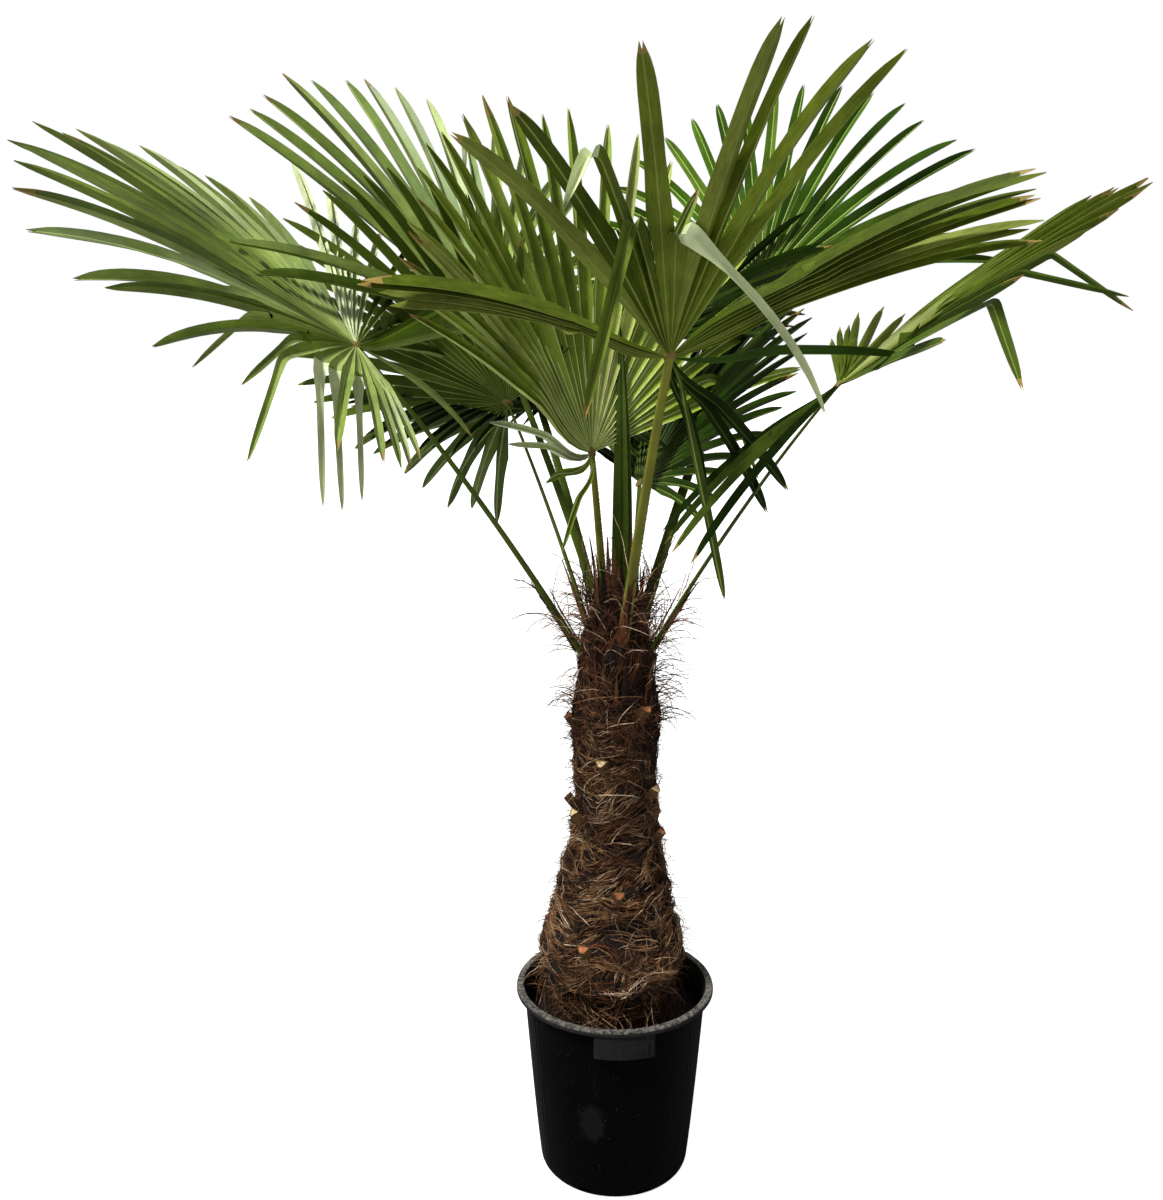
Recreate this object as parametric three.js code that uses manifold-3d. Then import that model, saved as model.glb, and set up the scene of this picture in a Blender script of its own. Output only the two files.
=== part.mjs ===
// A windmill palm in a nursery pot: a fibre-clad trunk with cut leaf stubs, and fan fronds on
// long petioles. Millimetres, +Z up; the origin is the middle of the pot's flat underside, and
// -Y is the side the plant is looked at from.
import * as THREE from "three";
import { mergeVertices } from "three/addons/utils/BufferGeometryUtils.js";
import Module from "manifold-3d";

// ---- Driving dimensions -------------------------------------------------------------------

const CLEARANCE = 0.3; // kept between pieces that touch

const POT = {
  height: 390,
  rimRadius: 200,
  rimDepth: 14,
  mouthRadius: 185,
  shoulderRadius: 184,
  footRadius: 150,
  footRound: 12,
  wall: 4,
  floor: 5,
  sides: 48,
};
const LUG = { drop: 48, innerRadius: 178, outerRadius: 197, halfAngle: 19, turns: [186, 6] };
const DRAIN = { count: 8, width: 26, depth: 24, height: 9 };

const SOIL = { edgeHeight: 322, crownHeight: 334, socketDepth: 64 };

// Trunk: [height, radius] of the fibre's outside, from below the soil to the heart's tip.
const TRUNK_STATIONS = [
  [270, 94],
  [336, 96],
  [380, 116],
  [425, 134],
  [460, 142],
  [500, 135],
  [540, 119],
  [600, 110],
  [690, 90],
  [745, 84],
  [795, 78],
  [870, 79],
  [945, 83],
  [985, 83],
  [1030, 71],
  [1070, 76],
  [1100, 73],
  [1130, 61],
  [1160, 46],
  [1190, 32],
  [1212, 14],
];
const TRUNK = { sides: 24, ripple: 2.6, ringStep: 26, lean: -9, leanHeight: 420 };

// Cut leaf stubs: [turn in degrees, height], the turn counted from -Y towards +X.
const STUBS = [
  [-22, 507],
  [5, 611],
  [65, 711],
  [-58, 751],
  [59, 800],
  [-18, 863],
  [-76, 938],
  [37, 968],
];
const BACK_STUBS = { count: 6, firstTurn: 128, turnStep: 41, firstHeight: 540, heightStep: 76 };
const STUB = { width: 32, keel: 10, thickness: 18, length: 54, sunk: 30, tilt: 38 };

const PETIOLE = {
  baseWidth: 26,
  baseDepth: 15,
  hubWidth: 15,
  hubDepth: 8,
  sunk: 34,
  pastHub: 5,
  bow: 0.07, // how far the petiole bows up from a straight line, as a share of its length
  stations: 10,
  sides: 6,
};

const BLADE = {
  leaflets: 26,
  halfSpread: 150, // degrees either side of the blade's middle line
  thickness: 7,
  tipThickness: 6.6,
  hubRadius: 17,
  split: 0.42, // the share of a leaflet's length that is joined to its neighbours
  gathered: 0.36, // the share by which it lies where its frond gathers it
  leastWidth: 0.3, // how narrow a gathered leaflet may get, as a share of its even width
  stations: [0.64, 0.86, 1],
  widths: [1, 0.9, 0.42],
  lengthPower: 1.8,
};
const LIFTS = [0, 0.1, -0.1, 0.2, -0.2, 0.32, -0.32];
const TRIMS = [1, 0.85, 0.7];
const FOLD_LENGTH = 0.07; // the share of a bent leaflet's length that its fold takes

// Each frond: where its hub is, the compass turn (from +Y towards +X) and rise of its middle
// line, the roll about that line, its reach, how it cups and droops, how much more its basal
// leaflets sag and how much shorter they are, the gaps in its fan in degrees, its bent leaflets
// as [angle, fold, outward, aside], how far leaflets lie from their even places as [angle,
// shift] where they draw together, and where its petiole leaves the trunk.
const FRONDS = [
  {
    name: "front",
    hub: [83, -288, 1635],
    turn: 148,
    rise: 43,
    roll: 13,
    reach: 620,
    cup: 1,
    droop: 0.36,
    sag: 0,
    taper: 0.38,
    gaps: [
      [-112, -60],
      [57, 81],
      [112, 150],
    ],
    bent: [
      [17, 0.37, 0.1, -0.65],
      [40, 0.44, 0.05, 0.1],
    ],
    lie: [
      [-60, 15],
      [-36, 0],
      [-22, -8],
      [-10, 0],
      [60, 0],
      [80, 1],
      [112, -23],
    ],
    base: [10, -50, 1100],
  },
  {
    name: "right",
    hub: [394, -60, 1588],
    turn: 106,
    rise: 36,
    roll: -9,
    reach: 585,
    cup: 1,
    droop: 0.1,
    sag: 0.45,
    taper: 0.4,
    gaps: [[84, 108]],
    bent: [[63, 0.72, 0.3, 0]],
    lie: [
      [-90, 0],
      [-60, 24],
      [60, -24],
      [84, 0],
    ],
    base: [62, -18, 1085],
  },
  {
    name: "left",
    hub: [-469, -79, 1658],
    turn: 281,
    rise: 40,
    roll: 4,
    reach: 640,
    cup: 4,
    droop: 0.3,
    sag: 0.5,
    taper: 0.55,
    gaps: [],
    bent: [
      [-52, 0.5, 0.6, -0.2],
      [-75, 0.45, 0.5, -0.2],
    ],
    base: [-66, -15, 1080],
  },
  {
    name: "middle",
    hub: [-49, 25, 1460],
    turn: 318,
    rise: 75,
    roll: -5,
    reach: 660,
    cup: 14,
    droop: 0.3,
    sag: 0,
    taper: 0.48,
    gaps: [
      [-150, -92],
      [78, 150],
    ],
    bent: [],
    lie: [
      [-92, 26],
      [-30, 0],
    ],
    base: [-17, -8, 1100],
  },
  {
    name: "back_right",
    hub: [312, 540, 1790],
    turn: 34,
    rise: 62,
    roll: -14,
    reach: 620,
    cup: -8,
    droop: 0.31,
    sag: 0,
    taper: 0.4,
    gaps: [
      [66, 150],
      [-150, -110],
    ],
    bent: [],
    base: [38, 20, 1100],
  },
  {
    name: "low_left",
    hub: [-220, 169, 1549],
    turn: 300,
    rise: 4,
    roll: -47,
    reach: 600,
    cup: 9,
    droop: 0.29,
    sag: 0.1,
    taper: 0.4,
    gaps: [[60, 150]],
    bent: [],
    base: [-42, 16, 1090],
  },
  {
    name: "back_left",
    hub: [-253, 257, 1694],
    turn: 315,
    rise: 56,
    roll: -3,
    reach: 660,
    cup: 5,
    droop: 0.31,
    sag: 0,
    taper: 0.4,
    gaps: [[-66, -48]],
    bent: [],
    base: [-14, 28, 1100],
  },
  {
    name: "back",
    hub: [26, 501, 1664],
    turn: 21,
    rise: 31,
    roll: 11,
    reach: 560,
    cup: 8,
    droop: 0.35,
    sag: 0.1,
    taper: 0.4,
    gaps: [[112, 150]],
    bent: [],
    base: [8, 8, 1105],
  },
  {
    name: "low_right",
    hub: [45, 225, 1385],
    turn: 70,
    rise: 52,
    roll: -2,
    reach: 480,
    cup: 6,
    droop: 0.3,
    sag: 0.1,
    taper: 0.45,
    gaps: [
      [-150, -84],
      [95, 150],
    ],
    bent: [],
    base: [28, 54, 1092],
  },
  {
    name: "low_back",
    hub: [-169, 383, 1530],
    turn: 350,
    rise: 8,
    roll: -4,
    reach: 500,
    cup: 5,
    droop: 0.45,
    sag: 0,
    taper: 0.4,
    gaps: [],
    bent: [],
    base: [-24, 58, 1080],
  },
];

// ---- Solids -------------------------------------------------------------------------------

const wasm = await Module();
wasm.setup();

const radians = THREE.MathUtils.degToRad;
const UP = new THREE.Vector3(0, 0, 1);
const vector = (xyz) => new THREE.Vector3(...xyz);

// A repeatable stream of numbers from 0 to 1.
function makeRandom(seed) {
  let state = seed >>> 0;
  return () => {
    state = (Math.imul(state, 1664525) + 1013904223) >>> 0;
    return state / 4294967296;
  };
}

// A closed solid from shared vertices and triangles, turned to face out.
function solidFrom(vertProperties, triVerts) {
  const made = new wasm.Manifold(new wasm.Mesh({ numProp: 3, vertProperties, triVerts }));
  if (made.volume() >= 0) return made;
  const flipped = Uint32Array.from(triVerts);
  for (let i = 0; i < flipped.length; i += 3) {
    [flipped[i + 1], flipped[i + 2]] = [flipped[i + 2], flipped[i + 1]];
  }
  return new wasm.Manifold(new wasm.Mesh({ numProp: 3, vertProperties, triVerts: flipped }));
}

// A closed three.js geometry as a solid, without the slivers that lie on its axis.
function solidOf(geometry) {
  const bare = new THREE.BufferGeometry();
  const source = geometry.index ? geometry.toNonIndexed() : geometry;
  bare.setAttribute("position", source.getAttribute("position"));
  const merged = mergeVertices(bare, 1e-3);
  const kept = [];
  const index = merged.index.array;
  for (let i = 0; i < index.length; i += 3) {
    const [a, b, c] = [index[i], index[i + 1], index[i + 2]];
    if (a !== b && b !== c && c !== a) kept.push(a, b, c);
  }
  return solidFrom(new Float32Array(merged.attributes.position.array), new Uint32Array(kept));
}

function geometryOf(solid) {
  const mesh = solid.getMesh();
  const geometry = new THREE.BufferGeometry();
  geometry.setAttribute("position", new THREE.BufferAttribute(mesh.vertProperties, 3));
  geometry.setIndex(new THREE.BufferAttribute(mesh.triVerts, 1));
  geometry.computeVertexNormals();
  return geometry;
}

// The largest piece of a solid that a cut may have left in scraps.
function mainPiece(solid) {
  const pieces = solid.decompose();
  return pieces.reduce((best, piece) => (piece.volume() > best.volume() ? piece : best));
}

// A profile of [radius, height] points turned about Z.
function turned(profile, sides) {
  const points = profile.map(([radius, height]) => new THREE.Vector2(radius, height));
  const lathe = new THREE.LatheGeometry(points, sides);
  lathe.rotateX(Math.PI / 2);
  return solidOf(lathe);
}

// Rings of points, each with as many points as the next, closed by a flat cap at both ends.
function skinned(rings) {
  const sides = rings[0].length;
  const positions = rings.flat().flatMap((point) => [point.x, point.y, point.z]);
  const faces = [];
  for (let ring = 0; ring + 1 < rings.length; ring++) {
    for (let side = 0; side < sides; side++) {
      const next = (side + 1) % sides;
      const [a, b] = [ring * sides + side, ring * sides + next];
      const [c, d] = [b + sides, a + sides];
      faces.push(a, b, c, a, c, d);
    }
  }
  const top = (rings.length - 1) * sides;
  for (let side = 1; side + 1 < sides; side++) {
    faces.push(0, side + 1, side, top, top + side, top + side + 1);
  }
  return solidFrom(new Float32Array(positions), new Uint32Array(faces));
}

// A thin sheet: points with normals, and faces that are counter-clockwise seen from the normals.
class Sheet {
  points = [];
  faces = [];

  add(point, normal, thickness) {
    this.points.push({ point, offset: normal.clone().multiplyScalar(thickness / 2) });
    return this.points.length - 1;
  }

  face(...corners) {
    for (let i = 1; i + 1 < corners.length; i++) {
      this.faces.push([corners[0], corners[i], corners[i + 1]]);
    }
  }

  // Both sides of the sheet, with a wall along every edge that only one face has.
  solid() {
    const count = this.points.length;
    const positions = [];
    for (const sign of [1, -1]) {
      for (const { point, offset } of this.points) {
        positions.push(...point.clone().addScaledVector(offset, sign).toArray());
      }
    }
    const edges = new Set();
    for (const [a, b, c] of this.faces) {
      for (const edge of [[a, b], [b, c], [c, a]]) edges.add(edge.join());
    }
    const triangles = [];
    for (const [a, b, c] of this.faces) {
      triangles.push(a, b, c, count + a, count + c, count + b);
      for (const [from, to] of [[a, b], [b, c], [c, a]]) {
        if (edges.has([to, from].join())) continue;
        triangles.push(from, count + from, count + to, from, count + to, to);
      }
    }
    return solidFrom(new Float32Array(positions), new Uint32Array(triangles));
  }
}

// ---- Pot and soil -------------------------------------------------------------------------

// The pot wall's outer radius at a height: slightly bowed from the foot to the shoulder.
function potRadius(height) {
  const share = height / (POT.height - POT.rimDepth);
  return POT.footRadius + (POT.shoulderRadius - POT.footRadius) * share ** 0.85;
}

// The wall's [radius, height] points from the foot's round to the shoulder, moved in by an inset.
function wallProfile(inset) {
  const shoulder = POT.height - POT.rimDepth;
  return [0.08, 0.25, 0.5, 0.75, 1].map((share) => {
    const height = share * shoulder;
    return [potRadius(height) - inset, height];
  });
}

function makePot() {
  const { height, rimRadius, rimDepth, mouthRadius, footRadius, footRound, wall, floor } = POT;
  const rimFoot = height - rimDepth;
  const outside = turned(
    [
      [0, 0],
      [footRadius - footRound, 0],
      [footRadius - footRound * 0.3, footRound * 0.3],
      ...wallProfile(0),
      [rimRadius - 5, rimFoot + 1],
      [rimRadius, rimFoot + 5],
      [rimRadius, height - 4],
      [rimRadius - 3, height],
      [mouthRadius, height],
      [0, height],
    ],
    POT.sides,
  );
  const inside = turned(
    [
      [0, floor],
      [footRadius - footRound, floor],
      ...wallProfile(wall),
      [mouthRadius - 3, height - 6],
      [mouthRadius, height + 1],
      [0, height + 1],
    ],
    POT.sides,
  );
  let pot = outside;
  for (const turn of LUG.turns) pot = pot.add(makeLug(turn));
  pot = pot.subtract(inside);
  for (let hole = 0; hole < DRAIN.count; hole++) {
    const slot = new THREE.BoxGeometry(DRAIN.width, DRAIN.depth, DRAIN.height);
    slot.translate(0, footRadius - DRAIN.depth / 4, floor + DRAIN.height / 2 + 1);
    slot.rotateZ(((hole + 0.5) / DRAIN.count) * Math.PI * 2);
    pot = pot.subtract(solidOf(slot));
  }
  return mainPiece(pot);
}

// A grip lug under the rim: a block that follows the wall, narrower at its foot.
function makeLug(turn) {
  const shape = new THREE.Shape();
  const half = radians(LUG.halfAngle);
  const middle = radians(turn) - Math.PI / 2;
  shape.absarc(0, 0, LUG.outerRadius, middle - half, middle + half, false);
  shape.absarc(0, 0, LUG.innerRadius, middle + half, middle - half, true);
  const block = new THREE.ExtrudeGeometry(shape, {
    depth: LUG.drop,
    bevelEnabled: false,
    curveSegments: 5,
  });
  block.translate(0, 0, POT.height - POT.rimDepth - LUG.drop + 2);
  return solidOf(block);
}

// The soil fills the pot, mounds a little, and has a socket for the trunk's foot.
function makeSoil() {
  const wall = wallProfile(POT.wall + CLEARANCE).filter(([, height]) => height < SOIL.edgeHeight);
  const rimRadius = potRadius(SOIL.edgeHeight) - POT.wall - CLEARANCE;
  const socket = trunkRadius(SOIL.crownHeight) + CLEARANCE * 2;
  return turned(
    [
      [0, POT.floor + CLEARANCE],
      [POT.footRadius - POT.footRound - CLEARANCE, POT.floor + CLEARANCE],
      ...wall,
      [rimRadius, SOIL.edgeHeight],
      [rimRadius * 0.86, SOIL.edgeHeight + 7],
      [rimRadius * 0.7, SOIL.crownHeight],
      [socket, SOIL.crownHeight],
      [socket, SOIL.crownHeight - SOIL.socketDepth],
      [0, SOIL.crownHeight - SOIL.socketDepth],
    ],
    POT.sides,
  );
}

// ---- Trunk --------------------------------------------------------------------------------

function trunkRadius(height) {
  const last = TRUNK_STATIONS.length - 1;
  let upper = TRUNK_STATIONS.findIndex(([station]) => station >= height);
  if (upper < 0) upper = last;
  const [z1, r1] = TRUNK_STATIONS[Math.max(upper, 1)];
  const [z0, r0] = TRUNK_STATIONS[Math.max(upper, 1) - 1];
  return THREE.MathUtils.lerp(r0, r1, THREE.MathUtils.clamp((height - z0) / (z1 - z0), 0, 1));
}

// The trunk's middle leans a little to -X about its widest part.
function trunkMiddle(height) {
  const share = Math.exp(-(((height - TRUNK.leanHeight) / 200) ** 2));
  return new THREE.Vector3(height <= SOIL.crownHeight ? 0 : TRUNK.lean * share, 0, height);
}

function trunkRing(height, random) {
  const radius = trunkRadius(height);
  const buried = height <= SOIL.crownHeight + 1;
  const ring = [];
  for (let side = 0; side < TRUNK.sides; side++) {
    const angle = (side / TRUNK.sides) * Math.PI * 2;
    const ripple = buried ? 0 : (random() - 0.5) * 2 * TRUNK.ripple * Math.min(1, radius / 60);
    const point = trunkMiddle(height);
    point.x += Math.cos(angle) * (radius + ripple);
    point.y += Math.sin(angle) * (radius + ripple);
    ring.push(point);
  }
  return ring;
}

function makeTrunk() {
  const random = makeRandom(11);
  const foot = TRUNK_STATIONS[0][0];
  const tip = TRUNK_STATIONS.at(-1)[0];
  const heights = [foot + CLEARANCE, SOIL.crownHeight];
  while (tip - heights.at(-1) > TRUNK.ringStep) heights.push(heights.at(-1) + TRUNK.ringStep);
  heights.push(tip);
  return skinned(heights.map((height) => trunkRing(height, random)));
}

// A cut stub of an old petiole, keeled on its outer side: it stands out of the fibre and points
// up and outward.
function makeStub(turn, height, grow) {
  const [width, keel, thickness] = [STUB.width, STUB.keel, STUB.thickness].map(
    (size) => size / 2 + grow,
  );
  const shape = new THREE.Shape();
  shape.moveTo(-keel, -thickness);
  shape.lineTo(keel, -thickness);
  shape.lineTo(width, thickness);
  shape.lineTo(-width, thickness);
  const stub = new THREE.ExtrudeGeometry(shape, {
    depth: STUB.length + grow * 2,
    bevelEnabled: false,
  });
  stub.translate(0, 0, -STUB.sunk - grow);
  stub.rotateX(radians(STUB.tilt));
  const middle = trunkMiddle(height);
  stub.translate(0, -trunkRadius(height), 0);
  stub.rotateZ(radians(turn));
  stub.translate(middle.x, middle.y, height);
  return solidOf(stub);
}

function stubPlaces() {
  const places = [...STUBS];
  for (let k = 0; k < BACK_STUBS.count; k++) {
    places.push([
      BACK_STUBS.firstTurn + ((k * BACK_STUBS.turnStep * 2.4) % 150),
      BACK_STUBS.firstHeight + k * BACK_STUBS.heightStep,
    ]);
  }
  return places;
}

// ---- Petioles -----------------------------------------------------------------------------

// The frond's middle line, its right-hand side and its upper face.
function frondFrame(frond) {
  const [turn, rise, roll] = [frond.turn, frond.rise, frond.roll].map(radians);
  const forward = new THREE.Vector3(
    Math.sin(turn) * Math.cos(rise),
    Math.cos(turn) * Math.cos(rise),
    Math.sin(rise),
  );
  const level = new THREE.Vector3(Math.cos(turn), -Math.sin(turn), 0);
  const side = level.applyAxisAngle(forward, -roll);
  const normal = side.clone().cross(forward);
  return { forward, side, normal };
}

// A quadratic curve from inside the trunk to the hub that bows up a little.
function petioleCurve(frond) {
  const base = vector(frond.base);
  const hub = vector(frond.hub);
  const length = base.distanceTo(hub);
  const middle = base.clone().add(hub).multiplyScalar(0.5).addScaledVector(UP, PETIOLE.bow * length);
  return new THREE.QuadraticBezierCurve3(base, middle, hub);
}

function makePetiole(frond, frame, grow) {
  const curve = petioleCurve(frond);
  const rings = [];
  const ringAt = (point, tangent, share) => {
    const side = frame.side.clone().projectOnPlane(tangent).normalize();
    const face = side.clone().cross(tangent);
    const width = THREE.MathUtils.lerp(PETIOLE.baseWidth, PETIOLE.hubWidth, share ** 0.6) / 2;
    const depth = THREE.MathUtils.lerp(PETIOLE.baseDepth, PETIOLE.hubDepth, share ** 0.6) / 2;
    const ring = [];
    for (let k = 0; k < PETIOLE.sides; k++) {
      const angle = (k / PETIOLE.sides) * Math.PI * 2;
      ring.push(
        point
          .clone()
          .addScaledVector(side, Math.cos(angle) * (width + grow))
          .addScaledVector(face, Math.sin(angle) * (depth + grow)),
      );
    }
    return ring;
  };
  const start = curve.getTangent(0);
  const root = curve.getPoint(0).addScaledVector(start, -PETIOLE.sunk - grow);
  rings.push(ringAt(root, start, 0));
  for (let k = 0; k < PETIOLE.stations; k++) {
    const share = k / PETIOLE.stations;
    rings.push(ringAt(curve.getPoint(share), curve.getTangent(share), share));
  }
  const last = curve.getTangent(1).add(frame.forward).normalize();
  rings.push(ringAt(curve.getPoint(1).addScaledVector(last, PETIOLE.pastHub + grow), last, 1));
  return skinned(rings);
}

// ---- Blades -------------------------------------------------------------------------------

// How far a leaflet lies from its even place in the fan, where leaflets draw together.
function shiftAt(frond, angle) {
  const lie = frond.lie ?? [[0, 0]];
  const upper = lie.findIndex(([at]) => radians(at) >= angle);
  if (upper < 1) return radians(upper < 0 ? lie.at(-1)[1] : lie[0][1]);
  const [[a0, s0], [a1, s1]] = [lie[upper - 1], lie[upper]];
  return radians(THREE.MathUtils.mapLinear(angle, radians(a0), radians(a1), s0, s1));
}

// The line a leaflet follows from the hub: it leaves at its angle in the fan, draws together
// with its neighbours where the frond gathers them, droops more and more, may be lifted clear
// of a neighbour past the split, and may fold over and hang.
function leafletLine(frond, frame, angle, style) {
  const steps = 24;
  const cup = radians(frond.cup) * (0.35 + 0.65 * Math.abs(Math.sin(angle)));
  const drawn = shiftAt(frond, angle);
  const headingAt = (share) => {
    const part = Math.min(1, share / BLADE.gathered);
    const turned = angle + drawn * THREE.MathUtils.smoothstep(part, 0, 1);
    const across = frame.side
      .clone()
      .multiplyScalar(Math.cos(turned))
      .addScaledVector(frame.forward, -Math.sin(turned));
    // While the line turns it also runs sideways, by the turn's own slope.
    const veer = drawn * part * 6 * part * (1 - part);
    const outward = frame.forward
      .clone()
      .multiplyScalar(Math.cos(turned))
      .addScaledVector(frame.side, Math.sin(turned))
      .addScaledVector(across, veer)
      .normalize()
      .multiplyScalar(Math.cos(cup))
      .addScaledVector(frame.normal, Math.sin(cup));
    return { across, outward };
  };
  const basal = (Math.abs(angle) / radians(BLADE.halfSpread)) ** BLADE.lengthPower;
  const length = frond.reach * (1 - frond.taper * basal) * style.trim;
  const away = headingAt(1).outward.setZ(0);
  const hanging = away.multiplyScalar(style.outward ?? 0);
  hanging.addScaledVector(frame.side, style.aside ?? 0).sub(UP).normalize();
  const droop = frond.droop + frond.sag * (angle / radians(BLADE.halfSpread)) ** 2;
  const points = [vector(frond.hub)];
  const tangents = [headingAt(0).outward];
  const acrosses = [];
  for (let step = 0; step < steps; step++) {
    const share = ((step + 0.5) / steps) * style.trim;
    const { across, outward } = headingAt(share);
    const heading = outward.addScaledVector(UP, -droop * share * share);
    const free = Math.max(0, share - BLADE.split) / (1 - BLADE.split);
    heading.addScaledVector(frame.normal, style.lift * Math.min(1, free * 2.5)).normalize();
    if (style.fold) {
      const folded = THREE.MathUtils.smoothstep(share, style.fold, style.fold + FOLD_LENGTH);
      heading.lerp(hanging, folded).normalize();
    }
    tangents.push(heading);
    acrosses.push(across);
    points.push(points.at(-1).clone().addScaledVector(heading, length / steps));
  }
  const at = (share) => {
    const place = THREE.MathUtils.clamp(share, 0, 1) * steps;
    const step = Math.min(Math.floor(place), steps - 1);
    const point = points[step].clone().lerp(points[step + 1], place - step);
    const tangent = tangents[Math.min(step + 1, steps)].clone();
    const width = acrosses[step].clone().projectOnPlane(tangent).normalize();
    return { point, tangent, width, normal: width.clone().cross(tangent) };
  };
  return { at, length };
}

const PLAIN = { lift: 0, trim: 1 };

function leafletAngles() {
  const step = (2 * BLADE.halfSpread) / BLADE.leaflets;
  const edges = [];
  for (let edge = 0; edge <= BLADE.leaflets; edge++) {
    edges.push(radians(-BLADE.halfSpread + edge * step));
  }
  return { edges, step: radians(step) };
}

function addLinePoint(sheet, place, sideways, thickness) {
  const point = place.point.clone().addScaledVector(place.width, sideways);
  return sheet.add(point, place.normal, thickness);
}

// The disc about the hub, which every leaflet springs from.
function hubSheet(frond, frame, grow) {
  const sheet = new Sheet();
  const thick = BLADE.thickness + grow * 2;
  const hub = sheet.add(vector(frond.hub), frame.normal, thick);
  const ring = leafletAngles().edges.map((edge) => {
    const place = leafletLine(frond, frame, edge, PLAIN).at(BLADE.hubRadius / frond.reach);
    place.point.addScaledVector(place.tangent, grow);
    return addLinePoint(sheet, place, 0, thick);
  });
  for (let edge = 1; edge < ring.length; edge++) sheet.face(hub, ring[edge], ring[edge - 1]);
  return sheet;
}

// The joined part of one leaflet, from the hub's edge to the split, for the clearance test.
function sectorSheet(frond, frame, index, grow) {
  const { edges } = leafletAngles();
  const sheet = new Sheet();
  const corner = (edge, share, sideways) => {
    const place = leafletLine(frond, frame, edges[edge], PLAIN).at(share);
    return addLinePoint(sheet, place, sideways, BLADE.thickness + grow * 2);
  };
  const inner = BLADE.hubRadius / frond.reach;
  sheet.face(
    corner(index, inner, -grow),
    corner(index + 1, inner, grow),
    corner(index + 1, BLADE.split, grow),
    corner(index, BLADE.split, -grow),
  );
  return sheet;
}

// The shares of a leaflet's length at which it has corners, past the split.
function freeStations(style) {
  if (!style.fold) return BLADE.stations;
  const hang = style.fold + FOLD_LENGTH;
  return [style.fold, style.fold + FOLD_LENGTH / 2, hang, (hang + 1) / 2, 1];
}

function freeWidth(share) {
  const stations = [BLADE.split, ...BLADE.stations];
  const widths = [1, ...BLADE.widths];
  const upper = Math.max(1, stations.findIndex((station) => station >= share - 1e-9));
  const between = (share - stations[upper - 1]) / (stations[upper] - stations[upper - 1]);
  return THREE.MathUtils.lerp(widths[upper - 1], widths[upper], between);
}

// A leaflet's free part: corners on the left and right of its line, from the split to the tip.
function addFreeLeaflet(sheet, frond, frame, index, style, grow, left, right) {
  const { edges, step } = leafletAngles();
  const line = leafletLine(frond, frame, (edges[index] + edges[index + 1]) / 2, style);
  const drawn = shiftAt(frond, edges[index + 1]) - shiftAt(frond, edges[index]);
  const closed = Math.max(BLADE.leastWidth, 1 + drawn / step);
  const halfWidth = line.length * BLADE.split * Math.tan((step * closed) / 2);
  for (const share of freeStations(style)) {
    const place = line.at(share);
    const reach = halfWidth * freeWidth(share) + grow;
    const thick = THREE.MathUtils.lerp(BLADE.thickness, BLADE.tipThickness, share) + grow * 2;
    const nextLeft = addLinePoint(sheet, place, -reach, thick);
    const nextRight = addLinePoint(sheet, place, reach, thick);
    sheet.face(left, right, nextRight, nextLeft);
    [left, right] = [nextLeft, nextRight];
  }
}

// A free leaflet by itself, for the clearance test.
function freeSheet(frond, frame, index, style, grow) {
  const { edges } = leafletAngles();
  const sheet = new Sheet();
  const thick = BLADE.thickness + grow * 2;
  const [left, right] = [index, index + 1].map((edge, k) => {
    const place = leafletLine(frond, frame, edges[edge], PLAIN).at(BLADE.split);
    return addLinePoint(sheet, place, k ? grow : -grow, thick);
  });
  addFreeLeaflet(sheet, frond, frame, index, style, grow, left, right);
  return sheet;
}

// What is already in place, as solids with their boxes.
class Crowd {
  members = [];

  add(solid, owner) {
    this.members.push({ solid, owner, box: solid.boundingBox() });
  }

  meets(solid, owner) {
    const box = solid.boundingBox();
    const apart = (other) =>
      [0, 1, 2].some((k) => box.min[k] > other.max[k] || box.max[k] < other.min[k]);
    return this.members.some(
      (member) =>
        member.owner !== owner &&
        !apart(member.box) &&
        Math.abs(member.solid.intersect(solid).volume()) > 1e-4,
    );
  }
}

function inGap(frond, angle) {
  return frond.gaps.some(([from, to]) => angle >= radians(from) && angle <= radians(to));
}

// Settles which leaflets a blade has and how each of them lies, clear of everything in place.
function settleLeaflets(frond, frame, crowd, random) {
  const { edges } = leafletAngles();
  const styles = new Array(BLADE.leaflets).fill(null);
  const sectors = [];
  for (let index = 0; index < BLADE.leaflets; index++) {
    const jitter = random() - 0.5;
    const angle = (edges[index] + edges[index + 1]) / 2;
    if (inGap(frond, angle)) continue;
    const sector = sectorSheet(frond, frame, index, CLEARANCE).solid();
    if (crowd.meets(sector, frond.name)) continue;
    sectors.push(sector);
    const half = (edges[1] - edges[0]) / 2;
    const bend = frond.bent.find(([at]) => Math.abs(radians(at) - angle) <= half);
    const options = [];
    if (bend) {
      const [, fold, outward, aside] = bend;
      options.push({ lift: 0.05, trim: 1, fold, outward, aside });
    }
    for (const trim of TRIMS) {
      for (const lift of LIFTS) options.push({ lift: lift + 0.06 * jitter, trim });
    }
    styles[index] = options.find((style) => {
      const leaflet = freeSheet(frond, frame, index, style, CLEARANCE).solid();
      return !crowd.meets(leaflet, frond.name);
    });
  }
  return styles;
}

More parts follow.
